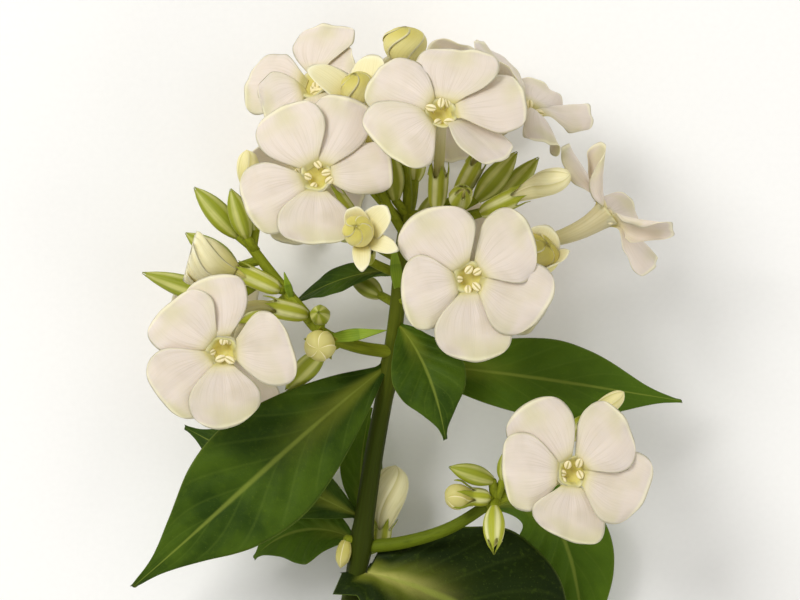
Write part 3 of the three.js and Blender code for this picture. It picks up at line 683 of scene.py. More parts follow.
print("the main stem is", round(Line(STEM).length, 1), "mm long")

# %% A turned piece
ROD_STEP = 1.2  # mm from one ring of a rod to the next
ROD_TIP = [(0.7, 0.5), (0, 0.6)]  # its rounded end: radius and height, as shares of the radius there


def turned(bm, line, profile, sides, form=None, number=0, look=0, twist=0.0):
    """Rolls a grid round a line. profile holds (radius, distance); form(turn, row) gives a factor on the
    radius and an addition to the distance, with turn from 0 to 1 round the line."""
    rows = len(profile) - 1
    corners, _ = mapped_grid(bm, sides, rows, number, look)
    for corner in corners:
        turn, row = corner.co.x + 0.5, round((corner.co.y + 0.5) * rows)
        radius, distance = profile[row]
        factor, more = form(turn, row) if form else (1, 0)
        place, heading, side = line.at(distance + more)
        angle = 2 * math.pi * turn + twist * row / rows
        other = heading.cross(side)
        corner.co = place + (side * math.cos(angle) + other * math.sin(angle)) * radius * factor
    bmesh.ops.remove_doubles(bm, verts=corners, dist=WELD)


def rod(bm, line, start, end, sides, number=0, sink=0.4, look=0):
    """A rod that tapers, with a rounded tip, its foot sunk into what it grows from."""
    steps = max(3, round(line.length / ROD_STEP))
    profile = [(0, -sink)]
    for k in range(steps + 1):
        profile.append((start + (end - start) * k / steps, -sink + (line.length + sink) * k / steps))
    profile += [(end * radius, line.length + end * height) for radius, height in ROD_TIP]
    turned(bm, line, profile, sides, number=number, look=look)


print("made the tools for turned pieces")

# %% Finished pieces
def draw(n):
    """The same draw from -1 to 1 for the same whole number."""
    s = math.sin(n * 12.9898 + 4.1414) * 43758.5453
    return 2 * (s - math.floor(s)) - 1


def smoothly(pairs, place):
    """A value between pairs of (place, value), on a smooth curve."""
    last = len(pairs) - 1
    k = min(max(bisect.bisect_right([p for p, _ in pairs], place) - 1, 0), last - 1)
    before, (p0, v0), (p1, v1), after = (pairs[min(max(n, 0), last)] for n in range(k - 1, k + 3))
    step = p1 - p0
    entry, leaving = (v1 - before[1]) / (p1 - before[0]) * step, (after[1] - v0) / (after[0] - p0) * step
    return eased(v0, v1, entry, leaving, min(max((place - p0) / step, 0), 1))


def finished(bm, name, node, slot, *finishes):
    """Moves a mesh from the growing frame to the model and hands it over as a piece in place of a node."""
    bmesh.ops.recalc_face_normals(bm, faces=bm.faces)
    bmesh.ops.scale(bm, vec=(MM, MM, MM), verts=bm.verts)
    bmesh.ops.translate(bm, vec=SHIFT, verts=bm.verts)
    mesh = bpy.data.meshes.new(name)
    bm.to_mesh(mesh)
    bm.free()
    for finish in finishes:
        mesh.materials.append(finish)
    piece = bpy.data.objects.new(name, mesh)
    bpy.context.collection.objects.link(piece)
    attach(piece, "root")
    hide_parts(node)
    return piece


print("first draws:", [round(draw(n), 2) for n in range(4)])

# %% [markdown]
# ## Open flowers
#
# A flower is five petals round a throat. Each petal is a claw that widens and ends in half an ellipse; its
# clockwise edge lies over its neighbour, as in every phlox, because the petals were wound round each other in
# the bud. Draws that belong to the petal wave and cup it. On top of that common form come the small things
# that make it a petal: a rim that ripples and turns down a little, and a shallow trough along the middle.

# %% A petal's numbers
PETAL_HALF_WIDTH = 7.1  # mm, as the root below
PETAL_ROOT = 2.0  # how far from the middle of the throat a petal begins
PETAL_CLAW = 0.62  # how far along a petal its widest line lies
CLAW_WIDTH = 0.2  # the width of its claw in the throat, as a share of the widest
CLAW_CURVE = 1.2  # above 1, the claw stays narrow for longer
PETAL_CORNERS = 0.08  # how much the round end is drawn out at its two shoulders
ROLL_DEPTH = 0.6  # how far rolled edges hang, as a share of a full roll
PETAL_GRID = (24, 32)
ROOT_CROWDING = 1.35  # above 1, a petal's rows stand closer together towards the throat
PLAIN_PETAL = (0, 0, 0, 1, 0, 0, 0)  # what a petal's numbers are where they aren't given
RISE, LAP, WAVE = 0.8, 0.75, 0.45  # mm that it rises from the throat, lifts one edge over the next, and waves
BEND_BACK = (0.25, 0.5)  # mm that its sides bend back, and how much more or less its own draw makes that
THROAT_DIP, TROUGH, TURN_DOWN, RAGGED = 1.3, 0.3, 0.08, 0.12  # mm
RIPPLES = ((0.3, 5, 7, 400), (0.2, 9, 5, 500))  # mm, waves round the rim, and how and which draws shift them
PETAL_HALF_THICKNESS = 0.14  # mm


def petal_place(u, v):
    """Where (u, v) lies on a flat petal, as shares of its length and of its largest half width."""
    if v < 0.5:
        widening = math.sin(math.pi * v) ** CLAW_CURVE
        return PETAL_CLAW * 2 * v, u * (CLAW_WIDTH + (1 - CLAW_WIDTH) * widening)
    a = 2 * v - 1
    outwards, aside = a * math.sqrt(1 - u * u / 2), u * math.sqrt(1 - a * a / 2)
    corner = 1 + PETAL_CORNERS * (2 * outwards * aside) ** 2
    return PETAL_CLAW + (1 - PETAL_CLAW) * corner * outwards, corner * aside


print("a petal's widest line lies at", PETAL_CLAW, "of its length")

# %% A petal's relief
def petal_height(u, p, q, forward, phase, cup):
    """How far a petal stands above its flower's plane, by the common form."""
    rising = RISE * (1 - math.exp(-6 * p)) + (forward - RISE) * p**1.6
    lapping = -LAP * u * math.sin(math.pi * p**0.7)
    waving = WAVE * math.sin(2.6 * q + 3 * phase) * p * p
    return rising + lapping + waving - (BEND_BACK[0] + BEND_BACK[1] * cup) * q * q * p


def petal_detail(p, q, number):
    """The dip into the throat, the rim's ripples and its turn down, and the trough along the middle."""
    rim = min(1.0, (q**4 + max(0.0, (p - 0.35) / 0.65) ** 4) ** 0.25)
    around = math.atan2(q * 7, (p - 0.55) * 12)  # the way out from the middle of a petal of about 14 by 12 mm
    ripple = sum(high * math.sin(waves * around + by * draw(number + n)) for high, waves, by, n in RIPPLES)
    trough = -TROUGH * math.exp(-((q / 0.16) ** 2)) * 4 * p * (1 - p)
    dip = -THROAT_DIP * math.exp(-((p / 0.075) ** 2))
    return dip + trough + ripple * rim**5 - TURN_DOWN * rim**10


def petal_thickness(u, v):
    edge = max(abs(u), abs(2 * v - 1))
    half = PETAL_HALF_THICKNESS * (1 - edge**6)
    return half, half


def roll_of(share):
    """The angle that a petal's edges are rolled back through, where a share of its width is left."""
    return 1 / share if share < 2 / math.pi else math.sqrt(max(0, 6 * (1 - share)))


print("a flat petal's edges are rolled through", roll_of(1), "and a half as wide one's through", roll_of(0.5))

# %% A petal
def petal_surface(shape, number):
    """The function from (u, v) to a place in the flower's frame, whose third axis is the way the flower
    faces. skew moves one side further out than the other and tip draws out the end, both in millimetres; tilt
    turns the petal about its own length."""
    angle, reach, forward, width, skew, tip, tilt = (*shape, *PLAIN_PETAL[len(shape):])
    phase, cup = draw(number * 2), draw(number * 2 + 1)
    bank = math.radians(tilt)
    radial = Vector((math.cos(math.radians(angle)), math.sin(math.radians(angle)), 0))
    sideways = Vector((-radial.y, radial.x, 0))
    roll = roll_of(width)

    def point(u, v):
        p, q = petal_place(u, v)
        height = petal_height(u, p, q, forward, phase, cup) + petal_detail(p, q, number)
        aside = PETAL_HALF_WIDTH * width * q
        if roll:
            aside = PETAL_HALF_WIDTH * math.sin(roll * q) / roll
            height -= ROLL_DEPTH * PETAL_HALF_WIDTH * (1 - math.cos(roll * q)) / roll
        ragged = RAGGED * draw(number + 50) * math.sin(6 * u + 4 * phase) * v**4
        out = PETAL_ROOT + (reach - PETAL_ROOT) * p + ragged + skew * q * p + tip * (1 - q * q) ** 2 * p**4
        height += aside * math.sin(bank)
        return radial * out + sideways * (aside * math.cos(bank)) + Vector((0, 0, height))

    return point


def petal(bm, shape, number, bloom_frame):
    surface = petal_surface(shape, number)

    def point(u, v):
        return bloom_frame @ surface(u, v**ROOT_CROWDING)

    blade(bm, point, petal_thickness, *PETAL_GRID, number=number % 5)


print("a plain petal 15 mm long ends at", petal_surface((0, 15, 0), 0)(0, 1))

# %% [markdown]
# ### The tube below the petals
#
# The tube leaves the calyx straight, bends over and meets the petals square to their plane. Its mouth has to
# be seen into, so the profile goes up the outside, over a rim that spreads under the petals, and down inside.

# %% A flower's line and tube
CALYX_LENGTH = 7  # mm, as the other lengths here
TOOTH_SHARE = 0.42  # how long a calyx's teeth are, as a share of its cup
SOCKET_FLOOR = 1.4  # how deep in the calyx a flower stands
CLEARANCE = 0.3  # what is left free below it
BEND_SHARE = 0.42  # how far the tube keeps straight on at both ends of its bend
TUBE_RADIUS = 1.05
TUBE_SIDES = 30
MOUTH_RADIUS = 3.3
MOUTH_CORNERS = 0.05  # how far the corners of the mouth stand out, as a share of its radius

# Outside, how far the neck has widened to the mouth's radius, and how far below the petals it has. Inside,
# the radius of the funnel, and how far below the petals that is.
FLARE = [(0.1, 4), (0.22, 3), (0.4, 2), (0.62, 1.2), (0.85, 0.65), (1, 0.35)]
FUNNEL = [
    (2.9, 0.42), (2.5, 0.72), (2.2, 1.05), (1.92, 1.5), (1.65, 1.95), (1.25, 2.35), (0.7, 2.6), (0, 2.65),
]


def flower_line(root, aim, sheath, end, face):
    base, last = Vector(root), Vector(end)
    heading, facing = Vector(aim).normalized(), Vector(face).normalized()
    mouth = sheath * (1 + TOOTH_SHARE)
    outside = base + heading * mouth
    reach = (last - outside).length * BEND_SHARE
    bend = interpolate_bezier(outside, outside + heading * reach, last - facing * reach, last, 5)
    inside = [base + heading * s for s in (SOCKET_FLOOR + CLEARANCE, mouth * 0.4, mouth * 0.7)]
    return Line([*inside, *bend[:4], last - facing * 0.6, last])


def tube(bm, line, angle, girth):
    """angle is where a petal stands, so that the mouth's five corners lie between the petals. girth is how
    thick the tube has become at its neck, where a plain one has 1."""
    end = line.length
    up, out, _ = TUBE_ROWS
    profile = [(0, 0)]
    for k in range(up - 1):
        share = k / (up - 2)
        widened = (girth * 1.15 - 1) * max(0, (share - 0.35) / 0.65) ** 1.3
        profile.append((TUBE_RADIUS * (1 + widened), (end - 5) * share))
    neck = profile[-1][0]
    profile += [(neck + (MOUTH_RADIUS - neck) * share, end - below) for share, below in FLARE]
    profile += [(radius, end - below) for radius, below in FUNNEL]

    def five_corners(turn, row):
        cornered = MOUTH_CORNERS if row >= up + out - 3 else 0
        return 1 + cornered * math.cos(5 * 2 * math.pi * turn - math.radians(5 * angle)), 0

    turned(bm, line, profile, TUBE_SIDES, form=five_corners, look=1)


print("the rim lies at", round(RIM, 3), "of the tube's profile")

# %% [markdown]
# ### Anthers
#
# Five anthers stand in the mouth, each a small two-lobed pod on a short thread. They sit at different depths,
# so one or two are half hidden, and in one young flower all five are still deep in the tube. A pod is a
# turned spindle with a groove along either side.

# %% Anthers
ANTHER_LENGTH = 2.1  # mm, as all of these
ANTHER_RADIUS = 0.64
THREAD_RADII = (0.17, 0.15)  # at the foot of a thread and at its pod
THREAD_FOOT = (1.5, -2)  # how far out from the middle of the throat, and how far in front of it
DEEP_ANTHERS = (0.75, -2.1)  # the same for anthers that are still deep in the tube
POD_RINGS, POD_SIDES = 8, 20


def two_lobed(turn, row):
    return 0.85 + 0.3 * math.cos(4 * math.pi * turn), 0


def anthers(bm, bloom_frame, number, deep):
    for k in range(5):
        a, b, c = (draw(number * 40 + k * 3 + n) for n in (600, 601, 602))
        angle = math.radians(72 * k + 36 + 26 * a)
        middle, foot = (
            Vector((math.cos(angle) * out, math.sin(angle) * out, height))
            for out, height in (DEEP_ANTHERS if deep else (2.1 + 0.6 * b, -0.65 + 0.75 * c), THREAD_FOOT)
        )
        lean = Vector((math.cos(angle + 1.1 * b), math.sin(angle + 1.1 * b), 0.3 + 0.4 * a)).normalized()
        half = lean * ANTHER_LENGTH / 2 * (1 + 0.12 * c)
        pod = Line([bloom_frame @ p for p in (middle - half, middle, middle + half)])
        profile = [
            (ANTHER_RADIUS * math.sin(math.pi * ring / POD_RINGS) ** 0.55, pod.length * ring / POD_RINGS)
            for ring in range(POD_RINGS + 1)
        ]
        turned(bm, pod, profile, POD_SIDES, form=two_lobed, look=2)
        thread = Line([bloom_frame @ p for p in (foot, foot.lerp(middle, 0.6), middle)])
        rod(bm, thread, *THREAD_RADII, 6, look=2, sink=0)


print("an anther is", ANTHER_LENGTH, "mm long")

# %% [markdown]
# ### All the flowers
#
# Twelve flowers are open, eight of them towards the camera. Each is given by its stalk, its calyx's aim, the
# centre and facing of its throat, and its petals, as angle round the throat, reach, how far the tip stands
# forward, and, where they matter, the width (below 1 where the edges are rolled), the skew, the drawn-out tip
# and the tilt. The four at the back rest on the table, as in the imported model, so each is lowered until it
# does.

# %% Where the flowers are
BLOOMS = {
    "bloom_front": dict(
        stalk=[(0, 1, 25), (5, 1, 25), (8.5, 1.6, 28)], aim=(0.12, 0.1, 1),
        throat=(13.4, 4.2, 52), face=(0.02, 0.03, 1),
        petals=[
            (127, 15, -0.5, 1.08, 1.3, 1.2), (38, 14.6, -1, 1.03, 2, 0.8), (-22, 15.6, -0.8, 1.08, 1.5, 0.6),
            (-86, 15.4, -1.6, 1.06, 0.5, 0.8), (-163, 13.3, -1, 1.02, 1.2, 0.4),
        ],
    ),
    "bloom_left": dict(
        stalk=[(-18, -4, 28.4), (-18.6, -3, 31)], aim=(-0.9, 0.2, 0.4),
        throat=(-34.6, -9.9, 46), face=(-0.08, -0.06, 1),
        petals=[
            (143, 14.2, -0.5, 1.04, 1.4), (98, 14.4, -1, 0.9, -0.6, 0.4), (3, 13.7, -1, 1.04, -2),
            (-88, 14.2, -1.5, 1, -1, 1.2), (-143, 15.8, -1.5, 1.06),
        ],
    ),
    "bloom_upper_left": dict(
        stalk=[(0.4, 9, 26), (-5, 11, 26), (-10.5, 12.5, 28.5)], aim=(-0.1, 0.3, 0.95),
        throat=(-16.2, 24, 47.5), face=(-0.12, 0.08, 1),
        petals=[
            (119, 15.5, -1, 1, 0.5, 0.2), (69, 16.8, -2, 0.88, -0.5), (10, 14.8, -0.5, 0.7),
            (-92, 13, -1, 1.06, 0, 0.2), (-157, 15.4, -1),
        ],
    ),
    "bloom_upper": dict(
        stalk=[(1, 13, 26.8), (4.5, 15, 30.5), (7.2, 18.2, 34)], aim=(0.05, 0.9, 0.42),
        throat=(8, 36.4, 51.5), face=(0.02, 0.42, 0.9),
        petals=[
            (72, 14.6, 0, 1.14, -1.5), (12, 16.6, 0, 0.95), (-42, 15.8, 0.5, 1, 0, 0, -35),
            (-147, 14, -0.5, 1.15, -1.6), (146, 15.6, -0.5, 0.94),
        ],
    ),
    "bloom_top_left": dict(
        stalk=[(1.2, 15, 27.2), (-3, 19, 26.5), (-6.5, 23, 26)], aim=(-0.35, 0.9, 0.25),
        throat=(-17.4, 43, 30), face=(-0.42, 0.45, 0.78), deep=True,
        petals=[(84, 14.2, -1), (8, 9.5, 0), (-72, 15, -1), (-158, 12, -1), (168, 16, -1, 0.96)],
    ),
    "bloom_top_right": dict(
        stalk=[(1.4, 16, 27.2), (7, 18, 27.4), (11.5, 20.5, 28)], aim=(0.45, 0.85, 0.15),
        throat=(26, 38.6, 32), face=(0.6, 0.75, 0.25),
        petals=[
            (123, 17, 2.5), (51, 14, 3, 0.8), (6, 14, 5, 0.6), (-90, 12.4, -1.5, 0.6), (-165, 13, 5, 0.7),
        ],
    ),
    "bloom_right": dict(
        stalk=[(0.2, 6, 25), (8, 6.5, 23), (15.5, 7, 23.5)], aim=(0.85, 0.3, 0.3),
        throat=(41.4, 17.6, 35), face=(0.78, 0.62, 0.02), girth=1.7,
        petals=[
            (30, 11.4, 5, 0.62), (-37, 14.6, 1, 0.6, 0, 0, 30), (-92, 13, 8, 0.42), (158, 12.8, 7, 0.4),
            (115, 15.8, 2.2, 0.6),
        ],
    ),
    "bloom_side_shoot": dict(
        stalk=[(18, -41, 24.6), (23.5, -38.5, 24.5)], aim=(0.25, 0.1, 0.95),
        throat=(33.6, -33.7, 44), face=(0.02, -0.04, 1),
        petals=[
            (125, 15.7, -1, 0.95, 0.2, 0.6), (44, 14.2, -1.5, 1, 1.6, 0.6), (-17, 15, -1, 1.06, 1.2, 0.4),
            (-94, 13.2, -1.5, 1.03, 2.2, 0.2), (179, 13.6, -1, 1.1, -0.8),
        ],
    ),
    "bloom_back_left": dict(
        stalk=[(0.3, 8, 25), (-5, 11, 22.5), (-8.5, 14.5, 21)], aim=(-0.5, 0.7, -0.2),
        throat=(-19.2, 27, 12), face=(-0.55, 0.25, -0.8), rests=True,
        petals=[(90, 15, -1), (18, 16, -2), (-54, 15, -1), (-126, 16, -1), (-198, 15, -2)],
    ),
    "bloom_back_top": dict(
        stalk=[(1.2, 15, 26.4), (2.5, 20, 23.5), (3, 24, 21.5)], aim=(0.1, 0.95, -0.2),
        throat=(8, 41, 13), face=(0.1, 0.6, -0.8), rests=True,
        petals=[(60, 15, -1), (-12, 15, -1), (-84, 16, -2), (-156, 15, -1), (-228, 16, -1)],
    ),
    "bloom_back_right": dict(
        stalk=[(0, 0, 23.5), (4, 0.5, 20), (7.5, 1, 18)], aim=(0.75, 0.15, -0.35),
        throat=(17.4, 5, 10.5), face=(0.5, 0.05, -0.85), rests=True,
        petals=[(75, 16, -1), (3, 15, -2), (-69, 15, -1), (-141, 16, -1), (-213, 15, -2)],
    ),
    "bloom_back_shoot": dict(
        stalk=[(-22, 1, 27.5), (-23.5, 0, 24), (-25, -1.5, 21.5)], aim=(-0.6, -0.3, -0.6),
        throat=(-36, -9, 12), face=(-0.6, -0.3, -0.74), rests=True,
        petals=[(80, 15, -1), (8, 15, -1), (-64, 16, -2), (-136, 15, -1), (-208, 16, -2)],
    ),
}

print(len(BLOOMS), "open flowers,", sum("rests" in form for form in BLOOMS.values()), "of them at the back")

# %% The flowers
RESTING = 0.35  # mm above the table for the middle of the lowest petal


def lowest_of(petals, number, bloom_frame):
    """The lowest point of a flower's petals, sampled on their middle surface."""
    surfaces = [petal_surface(shape, number * 5 + k) for k, shape in enumerate(petals)]
    places = [(u / 4, v / 10) for u in range(-4, 5) for v in range(4, 11)]
    return min((bloom_frame @ surface(u, v)).z for surface in surfaces for u, v in places)


def bloom_frame_at(throat, face):
    turn = Vector((0, 0, 1)).rotation_difference(Vector(face).normalized())
    return Matrix.Translation(throat) @ turn.to_matrix().to_4x4()


def bloom(name, number, stalk, aim, throat, face, petals, rests=False, girth=1, deep=False):
    centre = Vector(throat)
    if rests:
        floor = RESTING - SHIFT.z / MM
        centre.z += floor - lowest_of(petals, number, bloom_frame_at(throat, face))
    placed = bloom_frame_at(centre, face)
    bm = bmesh.new()
    for k, shape in enumerate(petals):
        petal(bm, shape, number * 5 + k, placed)
    tube(bm, flower_line(stalk[-1], aim, CALYX_LENGTH, centre, face), petals[0][0], girth)
    anthers(bm, placed, number, deep)
    return finished(bm, name + "_flower", name, "petal", PETAL, TUBE, ANTHER)


for number, (name, form) in enumerate(BLOOMS.items()):
    made = bloom(name, number, **form)
    low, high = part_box(name)
    ours = [max(v.co[k] for v in made.data.vertices) - high[k] for k in range(3)]
    print(made.name, len(made.data.polygons), "faces; beyond its solid by", [round(x / MM, 1) for x in ours])

# %% [markdown]
# ## Buds that show colour
#
# A pale bud is the tube with its five petals still wound round each other. A shut one is a spindle whose five
# folds lie over one another like the blades of a shutter: a saw tooth on the radius, turned a little further
# with every row. One that opens is five blades round a smaller spindle, each wide enough to lap over the next
# one. They close over the top as a rosette or stand up as a goblet with a ruffled mouth. In some, outer
# petals have come loose and lean out. Each bud is given by its stalk, its calyx's aim and length, its tip,
# how fat its head is and its loose petals, as angle round the bud, how far they lean out, length, and half
# their width as a share of it.

# %% Where the buds are
BUDS = {
    "bud_top": dict(
        stalk=[(1.4, 17, 27.4), (1.5, 22, 28), (1, 27, 28.5)], aim=(-0.02, 1, 0.12),
        sheath=7, tip=(1, 54.2, 33), opening="rosette", fat=4,
    ),
    "bud_top_left": dict(
        stalk=[(1, 13, 27), (-2, 18, 30), (-4.5, 23, 32.5)], aim=(-0.15, 0.9, 0.35),
        sheath=7, tip=(-9, 44.4, 42), opening="rosette", fat=3.1,
        loose=[(66, 40, 10.5, 0.42), (160, 48, 13, 0.34)],
    ),
    "bud_centre": dict(
        stalk=[(0.2, 5, 25.5), (-3.5, 6.5, 30), (-6.5, 8, 33)], aim=(-0.05, 0.25, 0.95),
        sheath=7, tip=(-8.4, 14.2, 55.4), opening="rosette", fat=2.75,
        loose=[(35, 52, 8.4, 0.36), (-27, 66, 8.6, 0.22), (-84, 62, 8.4, 0.22), (105, 36, 7)],
    ),
    "bud_right": dict(
        stalk=[(0, 0, 25), (8, -1.5, 25.5), (16, -0.5, 26.5)], aim=(0.6, 0.3, 0.75),
        sheath=6, tip=(28.7, 11.2, 42), opening="rosette", fat=4,
        loose=[(80, 30, 9.2, 0.5), (-42, 22, 9.6, 0.5)],
    ),
    "bud_far_right": dict(
        stalk=[(0.8, 11, 26.6), (8, 14.5, 31), (16, 17.2, 34)], aim=(0.9, 0.42, 0.15),
        # tint 2 paints this bud paler, as light
        sheath=7, tip=(33.4, 24.6, 41.2), fat=2.6, tint=2,
    ),
    "bud_far_left": dict(
        stalk=[(-23, 2, 27.6), (-24, 2, 29)], aim=(-0.9, 0.42, 0.05),
        sheath=7, tip=(-42, 8.5, 30), opening="goblet", fat=4.4,
    ),
    "bud_left_up": dict(
        stalk=[(-29.5, 10.4, 26.5), (-28.8, 14, 26.5)], aim=(-0.12, 0.98, 0),
        sheath=6, tip=(-30.6, 30, 27), fat=2.3,
    ),
    "bud_left_front": dict(
        stalk=[(-14.5, -7, 28.2), (-15.5, -8, 29.5)], aim=(-0.02, -0.1, 1),
        sheath=3.4, tip=(-16, -9.6, 40), fat=3.1, teeth=4.2, tint=1,
    ),
    "bud_side_shoot_left": dict(
        stalk=[(18, -41, 25), (17.8, -39.6, 27)], aim=(-1, 0.12, 0.3),
        sheath=3.2, tip=(9.2, -39.4, 30.5), fat=2.6, teeth=4.6, tint=1,
    ),
    "bud_side_shoot_right": dict(
        stalk=[(20.5, -39.6, 24.4), (27, -33, 25.5), (32, -28, 27.4)], aim=(0.8, 0.6, 0.3),
        sheath=5, tip=(44.4, -18.2, 32.6), fat=1.9,
    ),
    "bud_lower_right": dict(
        stalk=[(-7, -51, 14.8), (-4, -50.2, 11.6)], aim=(0.13, 0.98, -0.03),
        # tint 2 paints this bud paler, as light
        sheath=3.4, tip=(-0.9, -33.6, 11.4), fat=3.7, tint=2,
    ),
}

print(len(BUDS), "pale buds, of which", sum("opening" in form for form in BUDS.values()), "open")

# %% The head of a bud
HEAD_OUTLINE = [(0, 0.36), (0.28, 0.76), (0.58, 1), (0.8, 0.88), (0.93, 0.55), (1, 0)]
SHAFT = 1  # the radius of the tube below a bud's head, in mm
OPENINGS = {  # a head's outline, its length in mm, the frill of its mouth, and how far up a core fills it
    "rosette": dict(
        outline=[(0, 0.36), (0.22, 0.8), (0.5, 1), (0.78, 0.88), (0.93, 0.48), (1, 0.03)],
        head=7.5, frill=0, filled=0.99,
    ),
    "goblet": dict(
        outline=[(0, 0.24), (0.25, 0.55), (0.55, 0.88), (0.8, 1), (1, 0.92)], head=10, frill=0.16, filled=0.8,
    ),
}
CORE_SHARE = 0.7  # how fat the core of an opening bud is, as a share of the petals round it
CORE_ROWS, SHAFT_ROWS, CORE_SIDES = 22, 6, 60
FOLD_HEIGHT = 0.1  # how much a fold stands out, as a share of the radius
FOLD_TWIST = 1.4  # how far it turns round a shut bud, in radians


def bud_line(stalk, aim, sheath, tip):
    outside = Vector(stalk[-1]) + Vector(aim).normalized() * sheath * (1 + TOOTH_SHARE)
    return flower_line(stalk[-1], aim, sheath, tip, Vector(tip) - outside)


def neck_of(line, sheath, opening):
    """Where the head begins: inside the calyx in a shut bud, and well above it in one that opens."""
    if opening:
        return line.length - min(OPENINGS[opening]["head"], line.length - sheath - 0.5)
    return sheath - SOCKET_FLOOR - CLEARANCE


def swelling(share, fat):
    """The radius at a share of the head's length. Its lower part is never thinner than the tube."""
    radius = fat * smoothly(HEAD_OUTLINE, max(share, 0))
    return radius if share > 0.4 else max(SHAFT, radius)


def bud_core(bm, line, neck, fat, end, tint=0):
    profile = [(0, 0)] + [(SHAFT, neck * k / SHAFT_ROWS) for k in range(1, SHAFT_ROWS + 1)]
    first = len(profile)
    for k in range(1, CORE_ROWS + 1):
        radius = swelling(k / CORE_ROWS, fat) if k < CORE_ROWS else 0
        profile.append((radius, neck + (end - neck) * k / CORE_ROWS))

    def folds(turn, row):
        share = max(0, row - first) / CORE_ROWS
        return 1 + FOLD_HEIGHT * min(1, 3 * share) * ((5 * turn) % 1 - 0.5), 0

    turned(bm, line, profile, CORE_SIDES, form=folds, twist=FOLD_TWIST, number=tint)


print("half way up its head, a bud as fat as 3 mm has a radius of", round(swelling(0.5, 3), 2), "mm")

# %% Petals round a bud
WOUND_SPREAD, WOUND_TURN = 64, 100  # degrees that a wound petal covers on either side and turns up to its tip
WOUND_GRID, LOOSE_GRID = (18, 24), (14, 16)
LOOSE_WIDTH = 0.36  # half the width of a loose petal, as a share of its length, where it isn't given
LOOSE_CLAW = 0.46  # how far along it its widest line lies


def wound_petal(bm, line, neck, fat, opening, number):
    """One of the five blades of an opening bud, its anticlockwise side outside its neighbour."""
    head, frill = line.length - neck, opening["frill"]

    def point(u, v):
        height = v * (1 - 0.02 * u * u * v)
        place, heading, side = line.at(neck + head * height)
        angle = math.radians(72 * number + WOUND_SPREAD * u + WOUND_TURN * v * v)
        ripple = 0.08 * math.sin(6 * u + 5 * draw(number + 800)) * v**3
        ripple += frill * math.sin(13 * u + number) * v**6
        radius = fat * smoothly(opening["outline"], height) * (1 + (0.07 + 0.08 * v * v) * u + ripple)
        return place + (side * math.cos(angle) + heading.cross(side) * math.sin(angle)) * radius

    first = 0 if frill else WOUND  # a frilled mouth is as pale as loose petals are
    blade(bm, point, petal_thickness, *WOUND_GRID, number=first + number % 5, looks=(1, 1))


def loose_petal(bm, shape, number, neck_frame):
    angle, lean, length, share = (*shape, LOOSE_WIDTH)[:4]
    radial = Vector((math.cos(math.radians(angle)), math.sin(math.radians(angle)), 0))
    sideways = Vector((-radial.y, radial.x, 0))
    half, tilt = length * share, math.radians(lean)

    def point(u, v):
        a = 2 * v - 1
        p, q = LOOSE_CLAW + (1 - LOOSE_CLAW) * a * math.sqrt(1 - u * u / 2), u * math.sqrt(1 - a * a / 2)
        leaning = tilt * (0.55 + 0.45 * p)
        ripple = 0.16 * math.sin(6 * q + 5 * draw(number + 700)) * p * p
        out = 0.6 + length * p * math.sin(leaning) + 0.32 * length * (1 - p) * p - 0.25 * half * q * q
        flat = radial * (out + ripple) + sideways * (half * q)
        return neck_frame @ (flat + Vector((0, 0, length * p * math.cos(leaning))))

    blade(bm, point, petal_thickness, *LOOSE_GRID, number=number % 5, looks=(1, 1))


def bud(name, number, stalk, aim, sheath, tip, fat, opening=None, loose=(), teeth=None, tint=0):
    """teeth is the length of the calyx's teeth, which is used where the calyx is made."""
    line = bud_line(stalk, aim, sheath, tip)
    neck = neck_of(line, sheath, opening)
    bm = bmesh.new()
    if opening:
        kind = OPENINGS[opening]
        bud_core(bm, line, neck, fat * CORE_SHARE, neck + kind["filled"] * (line.length - neck))
        for k in range(5):
            wound_petal(bm, line, neck, fat, kind, k + 5 * number)
    else:
        bud_core(bm, line, neck, fat, line.length, tint)
    placed = bloom_frame_at(line.at(neck)[0], line.at(line.length)[1])
    for k, shape in enumerate(loose):
        loose_petal(bm, shape, number * 5 + k, placed)
    return finished(bm, name + "_wound", name, "bud", BUD, YOUNG_PETAL)


for number, (name, form) in enumerate(BUDS.items()):
    made = bud(name, number, **form)
    print(made.name, len(made.data.polygons), "faces")

# %% [markdown]
# ## The stem, its shoots and stalks
#
# The stem stands out from a plain rod by faint ribs that run along it and by a thicker ring where each pair
# of leaves sits. Shoots and stalks are thinner rods whose feet are sunk into what they grow from, as they
# would be if the plant had swollen round them.

